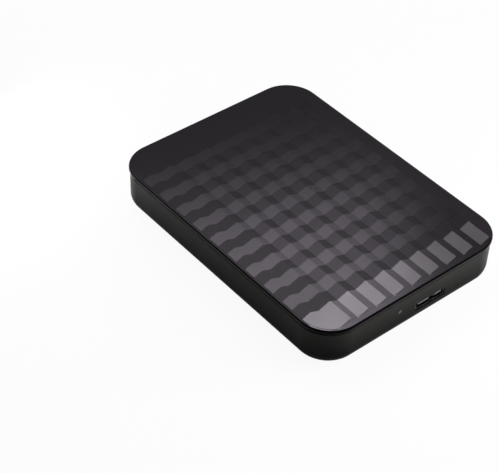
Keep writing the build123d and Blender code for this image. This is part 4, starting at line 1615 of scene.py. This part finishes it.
@dataclass
class SoftBox:
    """Soft lamp that looks at the drive, with its sizes in metres."""

    name: str
    bearing_deg: float
    height_deg: float
    distance: float
    width: float
    length: float
    radiance: float
    mirrored: bool = True

    def place(self, target: Vector) -> None:
        """Puts the lamp in the scene.

        Args:
            target: Point that it looks at.
        """
        bearing = math.radians(self.bearing_deg)
        height = math.radians(self.height_deg)
        level = math.cos(height)
        aim = Vector((math.cos(bearing) * level, math.sin(bearing) * level, math.sin(height)))
        lamp = bpy.data.lights.new(self.name, "AREA")
        lamp.shape = "RECTANGLE"
        lamp.size = self.width
        lamp.size_y = self.length
        lamp.energy = self.radiance * math.pi * self.width * self.length
        stand = bpy.data.objects.new(self.name, lamp)
        stand.location = target + aim * self.distance
        stand.rotation_euler = aim.to_track_quat("Z", "Y").to_euler()
        stand.visible_glossy = self.mirrored
        bpy.context.scene.collection.objects.link(stand)


@dataclass
class Studio:
    """Camera, floor, lamps and white surroundings."""

    azimuth_deg: float = -40.891
    elevation_deg: float = 42.322
    roll_deg: float = 2.36
    distance_mm: float = 505.93
    focal_px: float = 1481.53
    aim_mm: Point = (-22.688, 3.434, 9.0)
    sensor_mm: float = 36.0
    near_clip: float = 0.01
    floor_radius: float = 2.2
    floor_steps: int = 64
    floor_gap: float = 0.00005
    cove_radius: float = 0.7
    cove_steps: int = 12
    floor_dark: Colour = (0.84, 0.84, 0.84)
    floor_light: Colour = (0.88, 0.88, 0.88)
    white: Colour = (1.0, 1.0, 1.0)
    ambient: float = 0.08
    seen_share: float = 0.93
    mirrored_share: float = 0.1
    lamp_target_mm: Point = (0.0, 0.0, 10.0)

    def camera(self) -> None:
        """Puts the camera at the photograph's viewing angle."""
        azimuth = math.radians(self.azimuth_deg)
        elevation = math.radians(self.elevation_deg)
        roll = math.radians(self.roll_deg)
        level = math.cos(elevation)
        back = Vector((math.sin(azimuth) * level, -math.cos(azimuth) * level, math.sin(elevation)))
        right = (-back).cross(Vector((0, 0, 1))).normalized()
        up = right.cross(-back)
        right, up = (
            math.cos(roll) * right + math.sin(roll) * up,
            math.cos(roll) * up - math.sin(roll) * right,
        )
        lens = bpy.data.cameras.new("photo_camera")
        lens.sensor_fit = "HORIZONTAL"
        lens.sensor_width = self.sensor_mm
        lens.lens = self.focal_px * self.sensor_mm / PHOTO_WIDTH
        lens.clip_start = self.near_clip
        stand = bpy.data.objects.new("photo_camera", lens)
        turn = Matrix((right, up, back)).transposed().to_4x4()
        spot = (back * self.distance_mm + Vector(self.aim_mm)) * MM
        stand.matrix_world = Matrix.Translation(spot) @ turn
        bpy.context.scene.collection.objects.link(stand)
        bpy.context.scene.camera = stand

    def floor_mesh(self) -> bpy.types.Mesh:
        """Spins the profile of a round floor with an upturned edge.

        Returns:
            The floor's mesh.
        """
        form = bmesh.new()
        low = -self.floor_gap
        profile = [form.verts.new((reach, 0.0, low)) for reach in (0.0, self.floor_radius)]
        for step in range(1, self.cove_steps + 1):
            turn = math.pi / 2 * step / self.cove_steps
            reach = self.floor_radius + self.cove_radius * math.sin(turn)
            height = low + self.cove_radius * (1 - math.cos(turn))
            profile.append(form.verts.new((reach, 0.0, height)))
        edges = [form.edges.new(pair) for pair in zip(profile, profile[1:])]
        bmesh.ops.spin(
            form, geom=[*profile, *edges], cent=(0, 0, 0), axis=(0, 0, 1),
            angle=2 * math.pi, steps=self.floor_steps)
        bmesh.ops.remove_doubles(form, verts=form.verts, dist=FLOOR_MERGE)
        bmesh.ops.recalc_face_normals(form, faces=form.faces)
        mesh = bpy.data.meshes.new("studio_floor")
        form.to_mesh(mesh)
        form.free()
        mesh.shade_smooth()
        return mesh

    def floor_material(self) -> bpy.types.Material:
        """Pale matt floor that shows white to the camera, in mirrors and through clear plastic.

        Returns:
            The floor's material.
        """
        material = bpy.data.materials.new("pale_floor")
        bench = ShaderBench(material)
        path = bench.node("ShaderNodeLightPath")
        kinds = ("Is Camera Ray", "Is Glossy Ray", "Is Transmission Ray")
        camera, glossy, clear = (Wire(bench, path.outputs[kind]) for kind in kinds)
        seen = camera.higher_of(clear) * self.seen_share
        glow_share = seen.higher_of(glossy * self.mirrored_share)
        cloud = bench.noise(per_mm=0.002, detail=3.0)
        tone = bench.mix(cloud, self.floor_dark, self.floor_light)
        matt = bench.out("ShaderNodeBsdfDiffuse", None, {"Color": tone})
        sockets = {"Color": bench.filled(self.white), "Strength": 1.0}
        glow = bench.out("ShaderNodeEmission", None, sockets)
        bench.show(bench.out("ShaderNodeMixShader", None, {0: glow_share, 1: matt, 2: glow}))
        return material

    def floor(self) -> None:
        """Lays the floor, which keeps the drive's shadow."""
        floor = linked("studio_floor", self.floor_mesh())
        floor.data.materials.append(self.floor_material())
        floor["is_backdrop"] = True

    def surroundings(self) -> None:
        """Sets the world's even light."""
        world = bpy.data.worlds.new("even_studio")
        world.use_nodes = True
        bpy.context.scene.world = world
        bench = NodeBench(world.node_tree)
        bench.tree.nodes.clear()
        sockets = {"Color": (*self.white, 1.0), "Strength": self.ambient}
        even = bench.out("ShaderNodeBackground", None, sockets)
        bench.node("ShaderNodeOutputWorld", None, {"Surface": even})

    @staticmethod
    def lamps() -> tuple[SoftBox, ...]:
        """Lamps round the drive: two to mirror, two to fill and one along the left wall.

        Returns:
            The lamps.
        """
        return (
            SoftBox(
                "rear_softbox", bearing_deg=64.3, height_deg=62.2, distance=0.9,
                width=0.62, length=0.62, radiance=3.0),
            SoftBox(
                "rear_left_key", bearing_deg=116.0, height_deg=48.0, distance=0.8,
                width=0.4, length=0.4, radiance=1.5),
            SoftBox(
                "front_fill", bearing_deg=-42.0, height_deg=24.0, distance=0.7,
                width=0.6, length=0.5, radiance=4.0, mirrored=False),
            SoftBox(
                "near_fill", bearing_deg=-49.4, height_deg=15.2, distance=0.191,
                width=0.08, length=0.08, radiance=9.0, mirrored=False),
            SoftBox(
                "left_strip", bearing_deg=124.0, height_deg=1.0, distance=0.133,
                width=0.05, length=0.012, radiance=60.0, mirrored=False),
        )

    def build(self) -> None:
        """Sets up the whole studio."""
        bpy.context.scene.view_settings.view_transform = "Standard"
        self.camera()
        self.floor()
        self.surroundings()
        for lamp in self.lamps():
            lamp.place(Vector(self.lamp_target_mm) * MM)
            LOG.info("%s placed", lamp.name)


def keep_sizes() -> None:
    """Works out the solids' box and the visual model's box as plain lists."""
    boxes = {"cad": CAD_BOX, "visual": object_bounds()}
    plain = {name: [[float(v) for v in corner] for corner in box] for name, box in boxes.items()}


def main() -> None:
    """Builds and dresses the drive, then sets up the studio."""
    logging.basicConfig(level=logging.INFO, format="%(name)s %(message)s")
    assemblies: list[SubAssembly] = [
        OuterCase(),
        SocketEnd(),
        DiskHousing(),
        SpindleMotor(),
        HeadActuator(),
        FlexWiring(),
        ControlBoard(),
    ]
    for assembly in assemblies:
        assembly.build()
        assembly.dress()
    Studio().build()
    keep_sizes()


if __name__ == "__main__":
    main()
